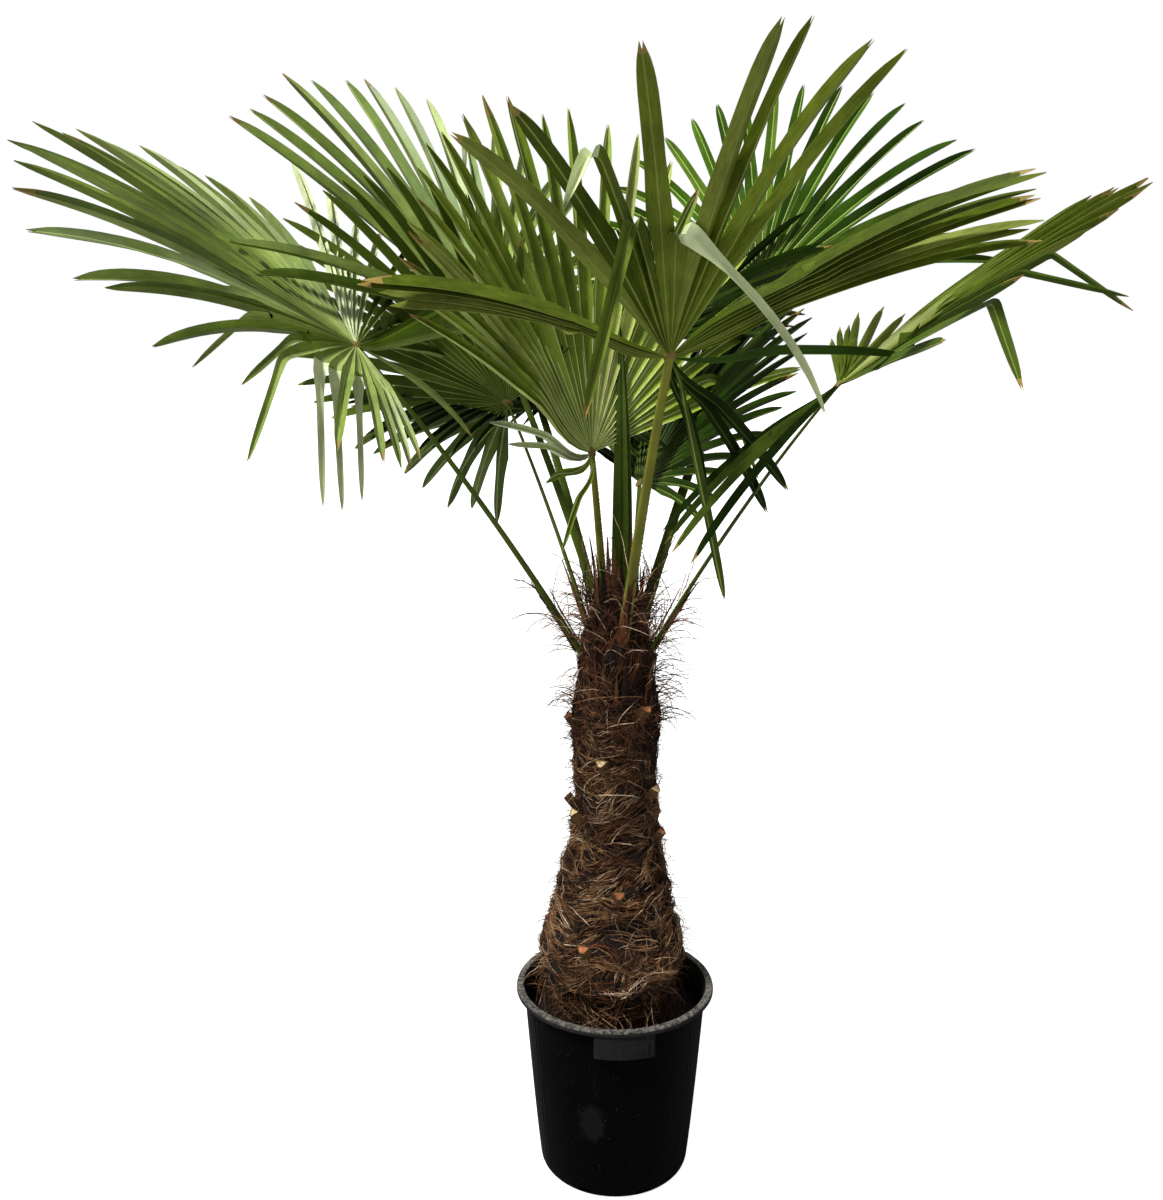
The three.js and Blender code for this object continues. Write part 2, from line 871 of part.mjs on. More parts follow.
// The blade: a small disc at the hub, the joined part, and the free leaflets.
function makeBlade(frond, frame, styles) {
  const { edges } = leafletAngles();
  const sheet = new Sheet();
  const hub = sheet.add(vector(frond.hub), frame.normal, BLADE.thickness);
  const ring = (share) =>
    edges.map((edge) => {
      const place = leafletLine(frond, frame, edge, PLAIN).at(share);
      return addLinePoint(sheet, place, 0, BLADE.thickness);
    });
  const inner = ring(BLADE.hubRadius / frond.reach);
  const split = ring(BLADE.split);
  for (let index = 0; index < BLADE.leaflets; index++) {
    sheet.face(hub, inner[index + 1], inner[index]);
    const style = styles[index];
    if (style === null) continue;
    sheet.face(inner[index], inner[index + 1], split[index + 1], split[index]);
    if (!style) continue;
    addFreeLeaflet(sheet, frond, frame, index, style, 0, split[index], split[index + 1]);
  }
  return sheet.solid();
}

// ---- The plant ----------------------------------------------------------------------------

const MATERIALS = {
  pot: new THREE.MeshStandardMaterial({ color: 0x24262a, roughness: 0.6 }),
  soil: new THREE.MeshStandardMaterial({ color: 0x3a2b20, roughness: 0.95 }),
  fibre: new THREE.MeshStandardMaterial({ color: 0x5c3b26, roughness: 0.95 }),
  stub: new THREE.MeshStandardMaterial({ color: 0xa98a62, roughness: 0.8 }),
  petiole: new THREE.MeshStandardMaterial({ color: 0x5b6326, roughness: 0.5 }),
  blade: new THREE.MeshStandardMaterial({ color: 0x4f6a2a, roughness: 0.5 }),
};

function makePlant() {
  const plant = new THREE.Group();
  const add = (name, solid, material) => {
    const mesh = new THREE.Mesh(geometryOf(solid), material.clone());
    mesh.name = name;
    plant.add(mesh);
  };

  add("pot", makePot(), MATERIALS.pot);
  add("soil", makeSoil(), MATERIALS.soil);

  const frames = new Map(FRONDS.map((frond) => [frond.name, frondFrame(frond)]));
  let trunk = makeTrunk();
  const crowd = new Crowd();
  for (const frond of FRONDS) {
    const frame = frames.get(frond.name);
    trunk = trunk.subtract(makePetiole(frond, frame, CLEARANCE));
    const petiole = makePetiole(frond, frame, 0);
    crowd.add(petiole, frond.name);
    crowd.add(hubSheet(frond, frame, CLEARANCE).solid(), frond.name);
    add("petiole_" + frond.name, petiole, MATERIALS.petiole);
  }
  stubPlaces().forEach(([turn, height], k) => {
    trunk = trunk.subtract(makeStub(turn, height, CLEARANCE));
    add("stub_" + String(k + 1).padStart(2, "0"), makeStub(turn, height, 0), MATERIALS.stub);
  });
  trunk = mainPiece(trunk);
  crowd.add(trunk, "trunk");
  add("trunk", trunk, MATERIALS.fibre);

  const random = makeRandom(5);
  for (const frond of FRONDS) {
    const frame = frames.get(frond.name);
    const styles = settleLeaflets(frond, frame, crowd, random);
    const socket = makePetiole(frond, frame, CLEARANCE);
    const blade = mainPiece(makeBlade(frond, frame, styles).subtract(socket));
    crowd.add(blade, frond.name);
    add("blade_" + frond.name, blade, MATERIALS.blade);
  }
  return plant;
}

export default makePlant();
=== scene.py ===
"""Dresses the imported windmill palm: pleated fan leaves, fibre-clad trunk, soil and pot.

Metres, +Z up, in the part's own frame: the origin is the middle of the pot's underside, and
-Y is the side that the camera looks at. The fronds grow by the same rule as the part's solids,
carried to more and finer leaflets.
"""

import math
import random

import bpy
from mathutils import Matrix, Vector, noise
from mathutils.bvhtree import BVHTree


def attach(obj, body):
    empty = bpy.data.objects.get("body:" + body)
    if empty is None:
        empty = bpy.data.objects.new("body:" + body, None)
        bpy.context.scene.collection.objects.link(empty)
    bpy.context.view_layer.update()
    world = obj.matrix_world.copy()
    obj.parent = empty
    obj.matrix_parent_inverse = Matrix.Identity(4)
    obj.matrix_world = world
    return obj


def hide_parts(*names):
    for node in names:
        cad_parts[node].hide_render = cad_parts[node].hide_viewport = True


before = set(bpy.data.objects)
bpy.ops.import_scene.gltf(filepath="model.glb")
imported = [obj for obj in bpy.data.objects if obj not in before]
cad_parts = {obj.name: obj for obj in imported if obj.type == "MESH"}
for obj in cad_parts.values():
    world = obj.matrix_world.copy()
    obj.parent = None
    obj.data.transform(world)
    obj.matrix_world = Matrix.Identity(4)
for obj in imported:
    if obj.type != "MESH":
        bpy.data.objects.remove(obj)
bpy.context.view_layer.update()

UP = Vector((0, 0, 1))
MM = 0.001

# ---- Sizes that the part's source gives, in its millimetres --------------------------------

POT_HEIGHT, POT_RIM_RADIUS, POT_RIM_DEPTH = 390, 200, 14
POT_MOUTH_RADIUS, POT_SHOULDER_RADIUS = 185, 184
POT_FOOT_RADIUS, POT_FOOT_ROUND, POT_WALL, POT_FLOOR = 150, 12, 4, 5
LUG_DROP, LUG_INNER, LUG_OUTER, LUG_HALF_ANGLE = 48, 178, 197, 19
LUG_TURNS = (186, 6)
RIB_TURNS = (-61, -57, 57, 61, 119, 123, 237, 241)
DRAIN_COUNT, DRAIN_WIDTH, DRAIN_HEIGHT = 8, 26, 9
SOIL_EDGE, SOIL_CROWN = 322, 334

TRUNK_STATIONS = (
    (270, 94), (336, 96), (380, 116), (425, 134), (460, 142), (500, 135), (540, 119),
    (600, 110), (690, 90), (745, 84), (795, 78), (870, 79), (945, 83), (985, 83),
    (1030, 71), (1070, 76), (1100, 73), (1130, 61), (1160, 46), (1190, 32), (1212, 14),
)
TRUNK_LEAN, TRUNK_LEAN_HEIGHT, TRUNK_LEAN_SPREAD = -9, 420, 200

STUBS = [
    (-22, 507), (5, 611), (65, 711), (-58, 751), (59, 800), (-18, 863), (-76, 938), (37, 968),
]
STUBS += [(128 + (k * 41 * 2.4) % 150, 540 + k * 76) for k in range(6)]
STUB_WIDTH, STUB_KEEL, STUB_THICKNESS = 32, 10, 18
STUB_LENGTH, STUB_SUNK, STUB_TILT = 54, 30, 38
FRESH_STUBS = (3, 4, 5, 9, 12)  # the ones whose cut faces are still pale

PETIOLE_BOW, PETIOLE_SUNK = 0.07, 34
PETIOLE_WIDTHS, PETIOLE_DEPTHS = (26, 15), (15, 8)  # at the trunk and at the hub
HALF_SPREAD = math.radians(150)
SPLIT = 0.42
LEAFLETS = 44
STEPS = 72

# Each frond: hub, the turn and rise of its middle line, the roll about it, reach, cup, droop,
# sag, taper, gaps, where its petiole leaves the trunk, and the tint of its leaves. Places in the
# fan are degrees from its middle line. lie: how far leaflets lie from their even places; lengths:
# how long they are; special: those between two places that have something of PLAIN changed, a
# tint of their own, or hang free; leaflets: their number where it isn't LEAFLETS.
# Of the tints, 'shade' and 'dim' are painted shade on leaves that hang in the crown's shade, and
# 'light' is a painted sky sheen.
FRONDS = {
    "front": dict(
        hub=(83, -288, 1635), turn=148, rise=43, roll=13, reach=620, cup=1, droop=0.36,
        sag=0, taper=0.38, base=(10, -50, 1100), tint="olive", leaflets=48,
        gaps=[(-125, -94), (-87, -62), (-12, -7), (56, 81), (112, 150)],
        lie=[
            (-150, 13), (-100, 18.5), (-62.5, 18.5), (-12.5, -15.5), (-6.3, 0.6), (3, 0),
            (9.4, 0.3), (15.6, -2.2), (21.9, 1.6), (28.1, 0), (34.4, 0.6), (40.6, -2.8),
            (46.9, -1.9), (60, 0), (81, -4), (112, -30),
        ],
        special=[
            (-150, -112, dict(aim=-9, droop=1.1, trim=1.06, tint="shade", free=True, slim=1.2)),
            (-144, -137, dict(aim=0, droop=1, trim=1.1, tint="dim", slim=0.9)),
            (-94, -87, dict(droop=0.9, trim=0.7, tint="shade", free=True, slim=0.7)),
            (25, 31, dict(trim=0.96, slim=1.45)),
        ],
    ),
    "right": dict(
        hub=(394, -60, 1588), turn=106, rise=36, roll=-9, reach=585, cup=1, droop=0.1,
        sag=0.45, taper=0.4, base=(62, -18, 1085), tint="olive",
        gaps=[(-150, -116), (-68, -62), (78, 104), (110, 117), (124, 131)],
        lie=[(-68, 0), (-61.4, 24), (60, -26), (84, 0), (104, 14), (150, 2)],
        lengths=[(15, 1), (30, 0.95), (44, 0.86), (58, 0.78), (75, 0.7), (104, 1)],
        special=[
            (-116, -88, dict(aim=32, rise=0.5, trim=0.42, free=True, slim=0.62)),
            (-88, -82, dict(aim=34, rise=0.3, trim=0.42, free=True, slim=0.62)),
            (-82, -75, dict(aim=38, rise=0.12, trim=0.44, free=True, slim=0.62)),
            (-75, -68, dict(aim=12, rise=0.5, trim=0.3, free=True, slim=0.62)),
            (38, 78, dict(tint="dim")),
            (104, 150, dict(aim=8, trim=1.02, tint="shade", slim=0.28, free=True)),
            (104, 110, dict(rise=-0.06)),
            (117, 123, dict(tint="dim")),
            (131, 138, dict(tint="dim", rise=0.05)),
            (138, 150, dict(rise=0.09)),
        ],
    ),
    "left": dict(
        hub=(-469, -79, 1658), turn=281, rise=40, roll=4, reach=640, cup=4, droop=0.3,
        sag=0.5, taper=0.55, gaps=[], base=(-66, -15, 1080), tint="pale",
        lie=[(-80, 0), (-66, -3), (-58, -6), (-50, 0)],
        lengths=[(17, 1), (31, 0.88), (44, 0.76), (64, 0.66), (100, 0.9)],
        special=[
            (37, 61, dict(rise=0.15, trim=0.92, tint="light", free=True, slim=0.6)),
            (61, 75, dict(rise=0.3, trim=0.68, free=True, slim=0.55)),
            (104, 146, dict(rise=1.1, trim=0.8, free=True, slim=0.5)),
        ],
    ),
    "middle": dict(
        hub=(-49, 25, 1460), turn=318, rise=75, roll=-5, reach=660, cup=14, droop=0.3,
        sag=0, taper=0.48, base=(-17, -8, 1100), tint="fresh",
        gaps=[(-143, -136), (-129, -116), (-105, -92), (78, 150)],
        lie=[(-92, 26), (-30, 0)],
        special=[
            (-150, -143, dict(aim=-16, trim=0.62, droop=1.5, free=True, slim=0.6)),
            (-136, -129, dict(trim=0.44, droop=1.7, free=True, slim=0.85)),
            (-116, -105, dict(trim=0.62, droop=0.7, free=True, tint="light", slim=0.6)),
        ],
    ),
    "back_right": dict(
        hub=(312, 540, 1790), turn=34, rise=62, roll=-14, reach=620, cup=-8, droop=0.31,
        sag=0, taper=0.4, gaps=[(66, 150), (-150, -110)], base=(38, 20, 1100), tint="vivid",
    ),
    "low_left": dict(
        hub=(-220, 169, 1549), turn=300, rise=4, roll=-47, reach=600, cup=9, droop=0.29,
        sag=0.1, taper=0.4, gaps=[(60, 150)], base=(-42, 16, 1090), tint="deep",
        special=[(-150, -116, dict(trim=0.6)), (-116, -108, dict(trim=0.8))],
    ),
    "back_left": dict(
        hub=(-253, 257, 1694), turn=315, rise=56, roll=-3, reach=660, cup=5, droop=0.31,
        sag=0, taper=0.4, gaps=[(-66, -48)], base=(-14, 28, 1100), tint="bright",
    ),
    "back": dict(
        hub=(26, 501, 1664), turn=21, rise=31, roll=11, reach=560, cup=8, droop=0.35,
        sag=0.1, taper=0.4, gaps=[(112, 150)], base=(8, 8, 1105), tint="shade",
        lengths=[(0, 0.94)],
    ),
    "low_right": dict(
        hub=(45, 225, 1385), turn=70, rise=52, roll=-2, reach=480, cup=6, droop=0.3,
        sag=0.1, taper=0.45, gaps=[(-150, -84), (95, 150)], base=(28, 54, 1092), tint="shade",
    ),
    "low_back": dict(
        hub=(-169, 383, 1530), turn=350, rise=8, roll=-4, reach=500, cup=5, droop=0.45,
        sag=0, taper=0.4, gaps=[], base=(-24, 58, 1080), tint="shade",
    ),
}

# Leaflets that have folded over: where in the fan, at what share of their length, over what
# share, and which way the rest hangs. trim shortens one, narrow is how much of its width stays,
# curl swings it sideways, and pale ones take a painted sky sheen past the fold.
FOLDED = {
    "front": [
        dict(at=22, fold=0.37, over=0.1, outward=0.1, aside=-1.27, curl=0.65, narrow=0.5,
             pale=True),
        dict(at=34, fold=0.46, over=0.06, outward=0.02, aside=0.25, trim=0.95, narrow=1.15),
        dict(at=41, fold=0.67, over=0.12, outward=-0.2, aside=0.5, trim=0.86, narrow=1.2,
             pale=True),
        dict(at=-140.6, fold=0.06, over=0.12, outward=0, aside=-0.26, narrow=0.8),
    ],
    "right": [
        dict(at=44, fold=0.76, over=0.03, outward=1.7, aside=0, trim=1.04),
        dict(at=51, fold=0.7, over=0.03, outward=4.5, aside=0, trim=1.02),
        dict(at=64, fold=0.72, over=0.04, outward=0.6, aside=0),
    ],
    "left": [
        dict(at=-72, fold=0.48, over=0.06, outward=1.7, aside=0, trim=0.78),
        dict(at=-85, fold=0.4, over=0.08, outward=2.2, aside=0, trim=0.76),
        dict(at=-92, fold=0.58, over=0.08, outward=0.9, aside=0, trim=1.02),
        dict(at=-99, fold=0.38, over=0.12, outward=0.05, aside=0, pale=True, trim=0.92),
        dict(at=-106, fold=0.35, over=0.12, outward=0.02, aside=0.04, pale=True, trim=0.92),
        dict(at=-119, fold=0.28, over=0.14, outward=0.1, aside=0, pale=True, trim=0.86),
    ],
    "middle": [
        dict(at=62, fold=0.5, over=0.2, outward=0.6, aside=0),
    ],
    "back_left": [
        dict(at=14, fold=0.84, over=0.08, outward=0.2, aside=0, pale=True),
    ],
}

# ---- Materials ------------------------------------------------------------------------------


def linear(color):
    """An sRGB colour of 0 to 255 as linear light."""
    def channel(value):
        value /= 255
        return value / 12.92 if value <= 0.04045 else ((value + 0.055) / 1.055) ** 2.4
    return (*map(channel, color), 1)


def shaded(color, factor):
    return (*(min(1, part * factor) for part in color[:3]), 1)


def grey(value):
    return (value, value, value, 1)


class Shader:
    """A node material about one Principled shader."""

    def __init__(self, name, roughness, specular=0.5):
        self.material = bpy.data.materials.new(name)
        self.material.use_nodes = True
        self.nodes = self.material.node_tree.nodes
        self.links = self.material.node_tree.links
        self.bsdf = self.nodes["Principled BSDF"]
        self.bsdf.inputs["Roughness"].default_value = roughness
        self.bsdf.inputs["Specular IOR Level"].default_value = specular

    def feed(self, socket, value):
        """Links a socket to another node's output, or gives it a plain value."""
        if isinstance(value, bpy.types.NodeSocket):
            self.links.new(value, socket)
        else:
            socket.default_value = value

    def node(self, kind, settings=(), **inputs):
        node = self.nodes.new(kind)
        for key, value in dict(settings).items():
            setattr(node, key, value)
        for key, value in inputs.items():
            self.feed(node.inputs[key.replace("_", " ")], value)
        return node

    def place(self, scale=(1, 1, 1), source="Object"):
        coordinates = self.node("ShaderNodeTexCoord")
        mapping = self.node("ShaderNodeMapping", Vector=coordinates.outputs[source], Scale=scale)
        return mapping.outputs["Vector"]

    def noise(self, where, scale, detail=4, roughness=0.6):
        node = self.node(
            "ShaderNodeTexNoise", Vector=where, Scale=scale, Detail=detail, Roughness=roughness
        )
        return node.outputs["Fac"]

    def ramp(self, factor, *stops):
        node = self.node("ShaderNodeValToRGB", Fac=factor)
        elements = node.color_ramp.elements
        while len(elements) < len(stops):
            elements.new(0.5)
        for element, (position, color) in zip(elements, stops):
            element.position = position
            element.color = color
        return node.outputs["Color"]

    def mix(self, factor, one, other, blend="MIX"):
        node = self.node("ShaderNodeMix", {"data_type": "RGBA", "blend_type": blend})
        for index, value in ((0, factor), (6, one), (7, other)):
            self.feed(node.inputs[index], value)
        return node.outputs[2]

    def color(self, socket):
        self.links.new(socket, self.bsdf.inputs["Base Color"])

    def roughness(self, socket, low, high):
        node = self.node("ShaderNodeMapRange", Value=socket, To_Min=low, To_Max=high)
        self.links.new(node.outputs["Result"], self.bsdf.inputs["Roughness"])

    def bump(self, height, strength, distance):
        node = self.node("ShaderNodeBump", Height=height, Strength=strength, Distance=distance)
        self.links.new(node.outputs["Normal"], self.bsdf.inputs["Normal"])


def leaf_material(name, color, roughness=0.46, streak=0.6, sheen=0.3):
    """Satin leaf with fine veins along the leaflet and soft blotches."""
    color = linear(color)
    shader = Shader(name, roughness, sheen)
    veins = shader.noise(shader.place((7, 0.22, 1), "UV"), 6, 3, 0.7)
    blotch = shader.noise(shader.place(), 9, 3)
    tone = shader.ramp(
        blotch, (0.32, shaded(color, 0.7)), (0.5, color), (0.7, shaded(color, 1.3))
    )
    streaks = shader.ramp(veins, (0.32, (0.42, 0.48, 0.34, 1)), (0.66, (1.38, 1.32, 1.2, 1)))
    shader.color(shader.mix(streak, tone, shader.mix(1, tone, streaks, "MULTIPLY")))
    shader.roughness(veins, roughness - 0.07, roughness + 0.12)
    shader.bump(veins, 0.22, 0.0006)
    return shader.material


def fibre_material(name, color, stretch=(1, 1, 1)):
    """Dry palm fibre: dull, streaked and uneven."""
    color = linear(color)
    shader = Shader(name, 0.88, 0.2)
    fine = shader.noise(shader.place(stretch), 160, 5, 0.7)
    broad = shader.noise(shader.place(), 11, 4)
    tone = shader.ramp(fine, (0.28, shaded(color, 0.28)), (0.5, color), (0.75, shaded(color, 1.7)))
    dark = shader.ramp(broad, (0.34, (0.42, 0.38, 0.36, 1)), (0.62, (1.15, 1.12, 1.1, 1)))
    shader.color(shader.mix(1, tone, dark, "MULTIPLY"))
    shader.bump(fine, 0.8, 0.003)
    return shader.material


# The pale scuff low on the pot: its colour, its middle with heights drawn in, how far out it
# fades, and how uneven its edge is.
SCUFF, SCUFF_SQUASH, SCUFF_MIDDLE = (24, 24, 27), (1, 1, 0.7), (-0.041, -0.162, 0.122)
SCUFF_INNER, SCUFF_OUTER, SCUFF_WAVER = 0.045, 0.06, 0.05


def plastic_material(name, color, dust_and_sheen, clean, patches=7, scuffed=False, mottled=False):
    """Matt moulded plastic with fine scuffs, and where it isn't clean a film of dust, in part
    painted sheen.
    """
    color, dust_and_sheen = linear(color), linear(dust_and_sheen)
    shader = Shader(name, 0.6, 0.015)
    scuff = shader.noise(shader.place((1, 1, 0.16)), 60, 6, 0.75)
    film = shader.noise(shader.place(), patches, 5, 0.65)
    dust_and_sheen_mask = shader.ramp(film, (clean, grey(0)), (clean + 0.3, grey(1)))
    specks = shader.noise(shader.place(), 330, 2, 0.5)
    spots = shader.ramp(specks, (0.715, grey(0)), (0.74, grey(0.8)))
    tone = shader.ramp(scuff, (0.35, color), (0.6, shaded(color, 1.6)), (0.78, dust_and_sheen))
    worn = shader.mix(dust_and_sheen_mask, color, dust_and_sheen if mottled else tone)
    worn = shader.mix(spots, worn, shaded(dust_and_sheen, 3))
    if scuffed:
        where = shader.place(SCUFF_SQUASH)
        apart = shader.node("ShaderNodeVectorMath", {"operation": "DISTANCE"})
        uneven = shader.node("ShaderNodeMath", {"operation": "MULTIPLY_ADD"})
        shader.feed(apart.inputs[0], where)
        shader.feed(apart.inputs[1], SCUFF_MIDDLE)
        shader.feed(uneven.inputs[0], shader.noise(where, 38, 4))
        shader.feed(uneven.inputs[1], SCUFF_WAVER)
        shader.feed(uneven.inputs[2], apart.outputs["Value"])
        patch = shader.ramp(
            uneven.outputs["Value"], (SCUFF_INNER, grey(0.6)), (SCUFF_OUTER, grey(0))
        )
        worn = shader.mix(patch, worn, linear(SCUFF))
    shader.color(worn)
    shader.roughness(film, 0.42, 0.66)
    shader.bump(scuff, 0.12, 0.0006)
    return shader.material


# Each tint: its sheen, the upper side's greens, the underside's, and the midribs' one. The
# greens are dealt out by leaflet. Tints differ by frond partly in the leaves' own tone and partly
# as painted light: 'shade' is painted shade for fronds low in the crown, and the lighter
# 'fresh', 'pale' and 'bright' stand partly for sky light painted on tops seen from above.
TINTS = {
    "olive": (
        0.05, [(88, 104, 34), (100, 116, 46), (78, 94, 26)],
        [(78, 92, 20), (94, 108, 32), (64, 78, 14), (112, 122, 52)],
        (112, 122, 46),
    ),
    "deep": (
        0.07, [(66, 90, 18), (56, 78, 12), (82, 106, 30), (48, 70, 10)],
        [(70, 88, 24), (84, 100, 36), (60, 76, 16)],
        (112, 128, 50),
    ),
    "shade": (
        0.02, [(30, 48, 10), (24, 40, 6), (44, 64, 16), (20, 34, 6)],
        [(34, 48, 12), (44, 60, 18), (26, 38, 8)],
        (84, 98, 38),
    ),
    "vivid": (
        0.12, [(64, 98, 18), (56, 86, 14), (84, 112, 30), (46, 72, 12)],
        [(74, 100, 22), (90, 112, 34), (58, 82, 14)],
        (120, 138, 56),
    ),
    "fresh": (
        0.12, [(138, 156, 62), (122, 142, 48), (158, 170, 88), (104, 124, 36)],
        [(144, 158, 72), (164, 174, 96), (126, 142, 56)],
        (198, 204, 144),
    ),
    "pale": (
        0.34, [(114, 134, 54), (100, 120, 42), (134, 148, 80), (84, 104, 34)],
        [(100, 116, 50), (118, 132, 70), (86, 100, 38)],
        (146, 156, 88),
    ),
    "bright": (
        0.34, [(134, 154, 74), (118, 140, 58), (152, 168, 100), (100, 124, 46)],
        [(120, 136, 66), (138, 152, 88), (104, 120, 50)],
        (168, 178, 108),
    ),
}
UNDER_SHEEN = 0.05
# Of these, 'light' is a painted sky sheen, and 'shade' and 'dim' are painted shade.
OTHERS = ("rib", "light", "tip", "shade", "dim")  # what each tint has beside its greens


def leaf_materials():
    """For each tint: the materials of its upper sides, its undersides, and the others."""
    shared = [
        # A painted sky sheen for pale folded and upright leaflets.
        leaf_material("leaf_painted_sky_sheen", (182, 192, 146), 0.5, 0.15),
        leaf_material("leaf_tip", (140, 118, 58), 0.6, 0.3),
        # Painted shade for leaflets in the crown's shade: a deep one and a dim one.
        leaf_material("leaf_painted_shade", (26, 42, 9), 0.5, 0.4, 0.02),
        leaf_material("leaf_painted_dim", (62, 80, 24), 0.5, 0.5, 0.05),
    ]
    return {
        tint: (
            [leaf_material(f"leaf_{tint}_{k}", color, sheen=sheen)
             for k, color in enumerate(tops)],
            [leaf_material(f"leaf_under_{tint}_{k}", color, 0.52, sheen=UNDER_SHEEN)
             for k, color in enumerate(unders)],
            [leaf_material("leaf_rib_" + tint, rib, 0.5, 0.1), *shared],
        )
        for tint, (sheen, tops, unders, rib) in TINTS.items()
    }


# ---- Meshes ---------------------------------------------------------------------------------


class Builder:
    """Collects vertices and faces with a material and texture place each."""

    def __init__(self):
        self.vertices = []
        self.faces = []
        self.slots = []
        self.places = []

    def row(self, points):
        start = len(self.vertices)
        self.vertices.extend(points)
        return list(range(start, len(self.vertices)))

    def face(self, corners, slot=0, places=None):
        self.faces.append(corners)
        self.slots.append(slot)
        self.places.append(places or [(0, 0)] * len(corners))

    def object(self, name, materials, sharp=None):
        mesh = bpy.data.meshes.new(name)
        mesh.from_pydata(self.vertices, [], self.faces)
        for material in materials:
            mesh.materials.append(material)
        mesh.polygons.foreach_set("material_index", self.slots)
        layer = mesh.uv_layers.new(name="UVMap")
        layer.data.foreach_set(
            "uv", [part for places in self.places for place in places for part in place]
        )
        mesh.polygons.foreach_set("use_smooth", [True] * len(self.faces))
        mesh.update()
        if sharp is not None:
            mesh.set_sharp_from_angle(angle=math.radians(sharp))
        made = bpy.data.objects.new(name, mesh)
        bpy.context.scene.collection.objects.link(made)
        return made


def dress(made, slot, *nodes):
    """The piece moves with the plant and stands for these solids; the slot is not used."""
    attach(made, "root")
    if nodes:
        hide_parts(*nodes)


SKIN_TEXTURE = 8  # how wide the texture lies round a skin


def skin(builder, rings, slot=0, caps=True, joined=False):
    """Faces between rings of points; joined also runs faces from the last to the first."""
    rows = [builder.row(ring) for ring in rings]
    sides = len(rows[0])
    if joined:
        rows.append(rows[0])
    for k, (low, high) in enumerate(zip(rows, rows[1:])):
        for side in range(sides):
            after = (side + 1) % sides
            u0, u1 = (part / sides * SKIN_TEXTURE for part in (side, side + 1))
            builder.face(
                [low[side], low[after], high[after], high[side]], slot,
                [(u0, k), (u1, k), (u1, k + 1), (u0, k + 1)],
            )
    if caps:
        builder.face(rows[0][::-1], slot)
        builder.face(rows[-1], slot)
    return rows


def between(stations, at):
    """A value read off a list of (place, value) pairs."""
    if at <= stations[0][0]:
        return stations[0][1]
    for (x0, y0), (x1, y1) in zip(stations, stations[1:]):
        if at <= x1:
            return y0 + (y1 - y0) * (at - x0) / (x1 - x0)
    return stations[-1][1]


def smooth(low, high, at):
    """From 0 at the first place to 1 at the second, with a soft start and end."""
    share = min(1, max(0, (at - low) / (high - low)))
    return share * share * (3 - 2 * share)


def full_turn(sides):
    """Even angles once round."""
    return [side / sides * 2 * math.pi for side in range(sides)]


def level(angle):
    """The level direction at an angle."""
    return Vector((math.cos(angle), math.sin(angle), 0))


def about_axis(angle, radius, height):
    """A point by its place round the pot's axis, in millimetres."""
    return Vector((math.cos(angle) * radius, math.sin(angle) * radius, height)) * MM


def oval(centre, across, up, half_width, half_height, sides):
    """A ring of points round a centre."""
    return [
        centre + across * math.cos(angle) * half_width + up * math.sin(angle) * half_height
        for angle in full_turn(sides)
    ]


def square_to(direction, vector):
    """A vector turned square to a direction, of length one."""
    return (vector - direction * vector.dot(direction)).normalized()


def curve(start, pull, end, share):
    """A point on the curve between two ends that a third point pulls aside."""
    return start * (1 - share) ** 2 + pull * 2 * share * (1 - share) + end * share**2


# ---- Fronds ---------------------------------------------------------------------------------


class Axes:
    """A frond's middle line, its right-hand side and its upper face."""

    def __init__(self, frond):
        turn, rise, roll = (math.radians(frond[key]) for key in ("turn", "rise", "roll"))
        self.forward = Vector((
            math.sin(turn) * math.cos(rise), math.cos(turn) * math.cos(rise), math.sin(rise)
        ))
        self.side = Matrix.Rotation(-roll, 3, self.forward) @ level(-turn)
        self.normal = self.side.cross(self.forward)


# A leaflet's style: how much of its length it has, how far its free part lifts, bends aside,
# droops and twists, how many degrees it aims aside, how far all of it rises, and its width.
PLAIN = dict(trim=1, lift=0, bend=0, droop=1, twist=0, aim=0, rise=0, slim=1, pale=False)
FOLDED_STYLE = dict(trim=1, bend=0, twist=0, narrow=0.6, curl=0)
GATHERED = 0.36  # the share of a leaflet's length by which it lies where its frond gathers it


def shift(frond, angle):
    """How far a leaflet lies from its even place in the fan, where leaflets draw together."""
    return math.radians(between(frond.get("lie", [(0, 0)]), math.degrees(angle)))


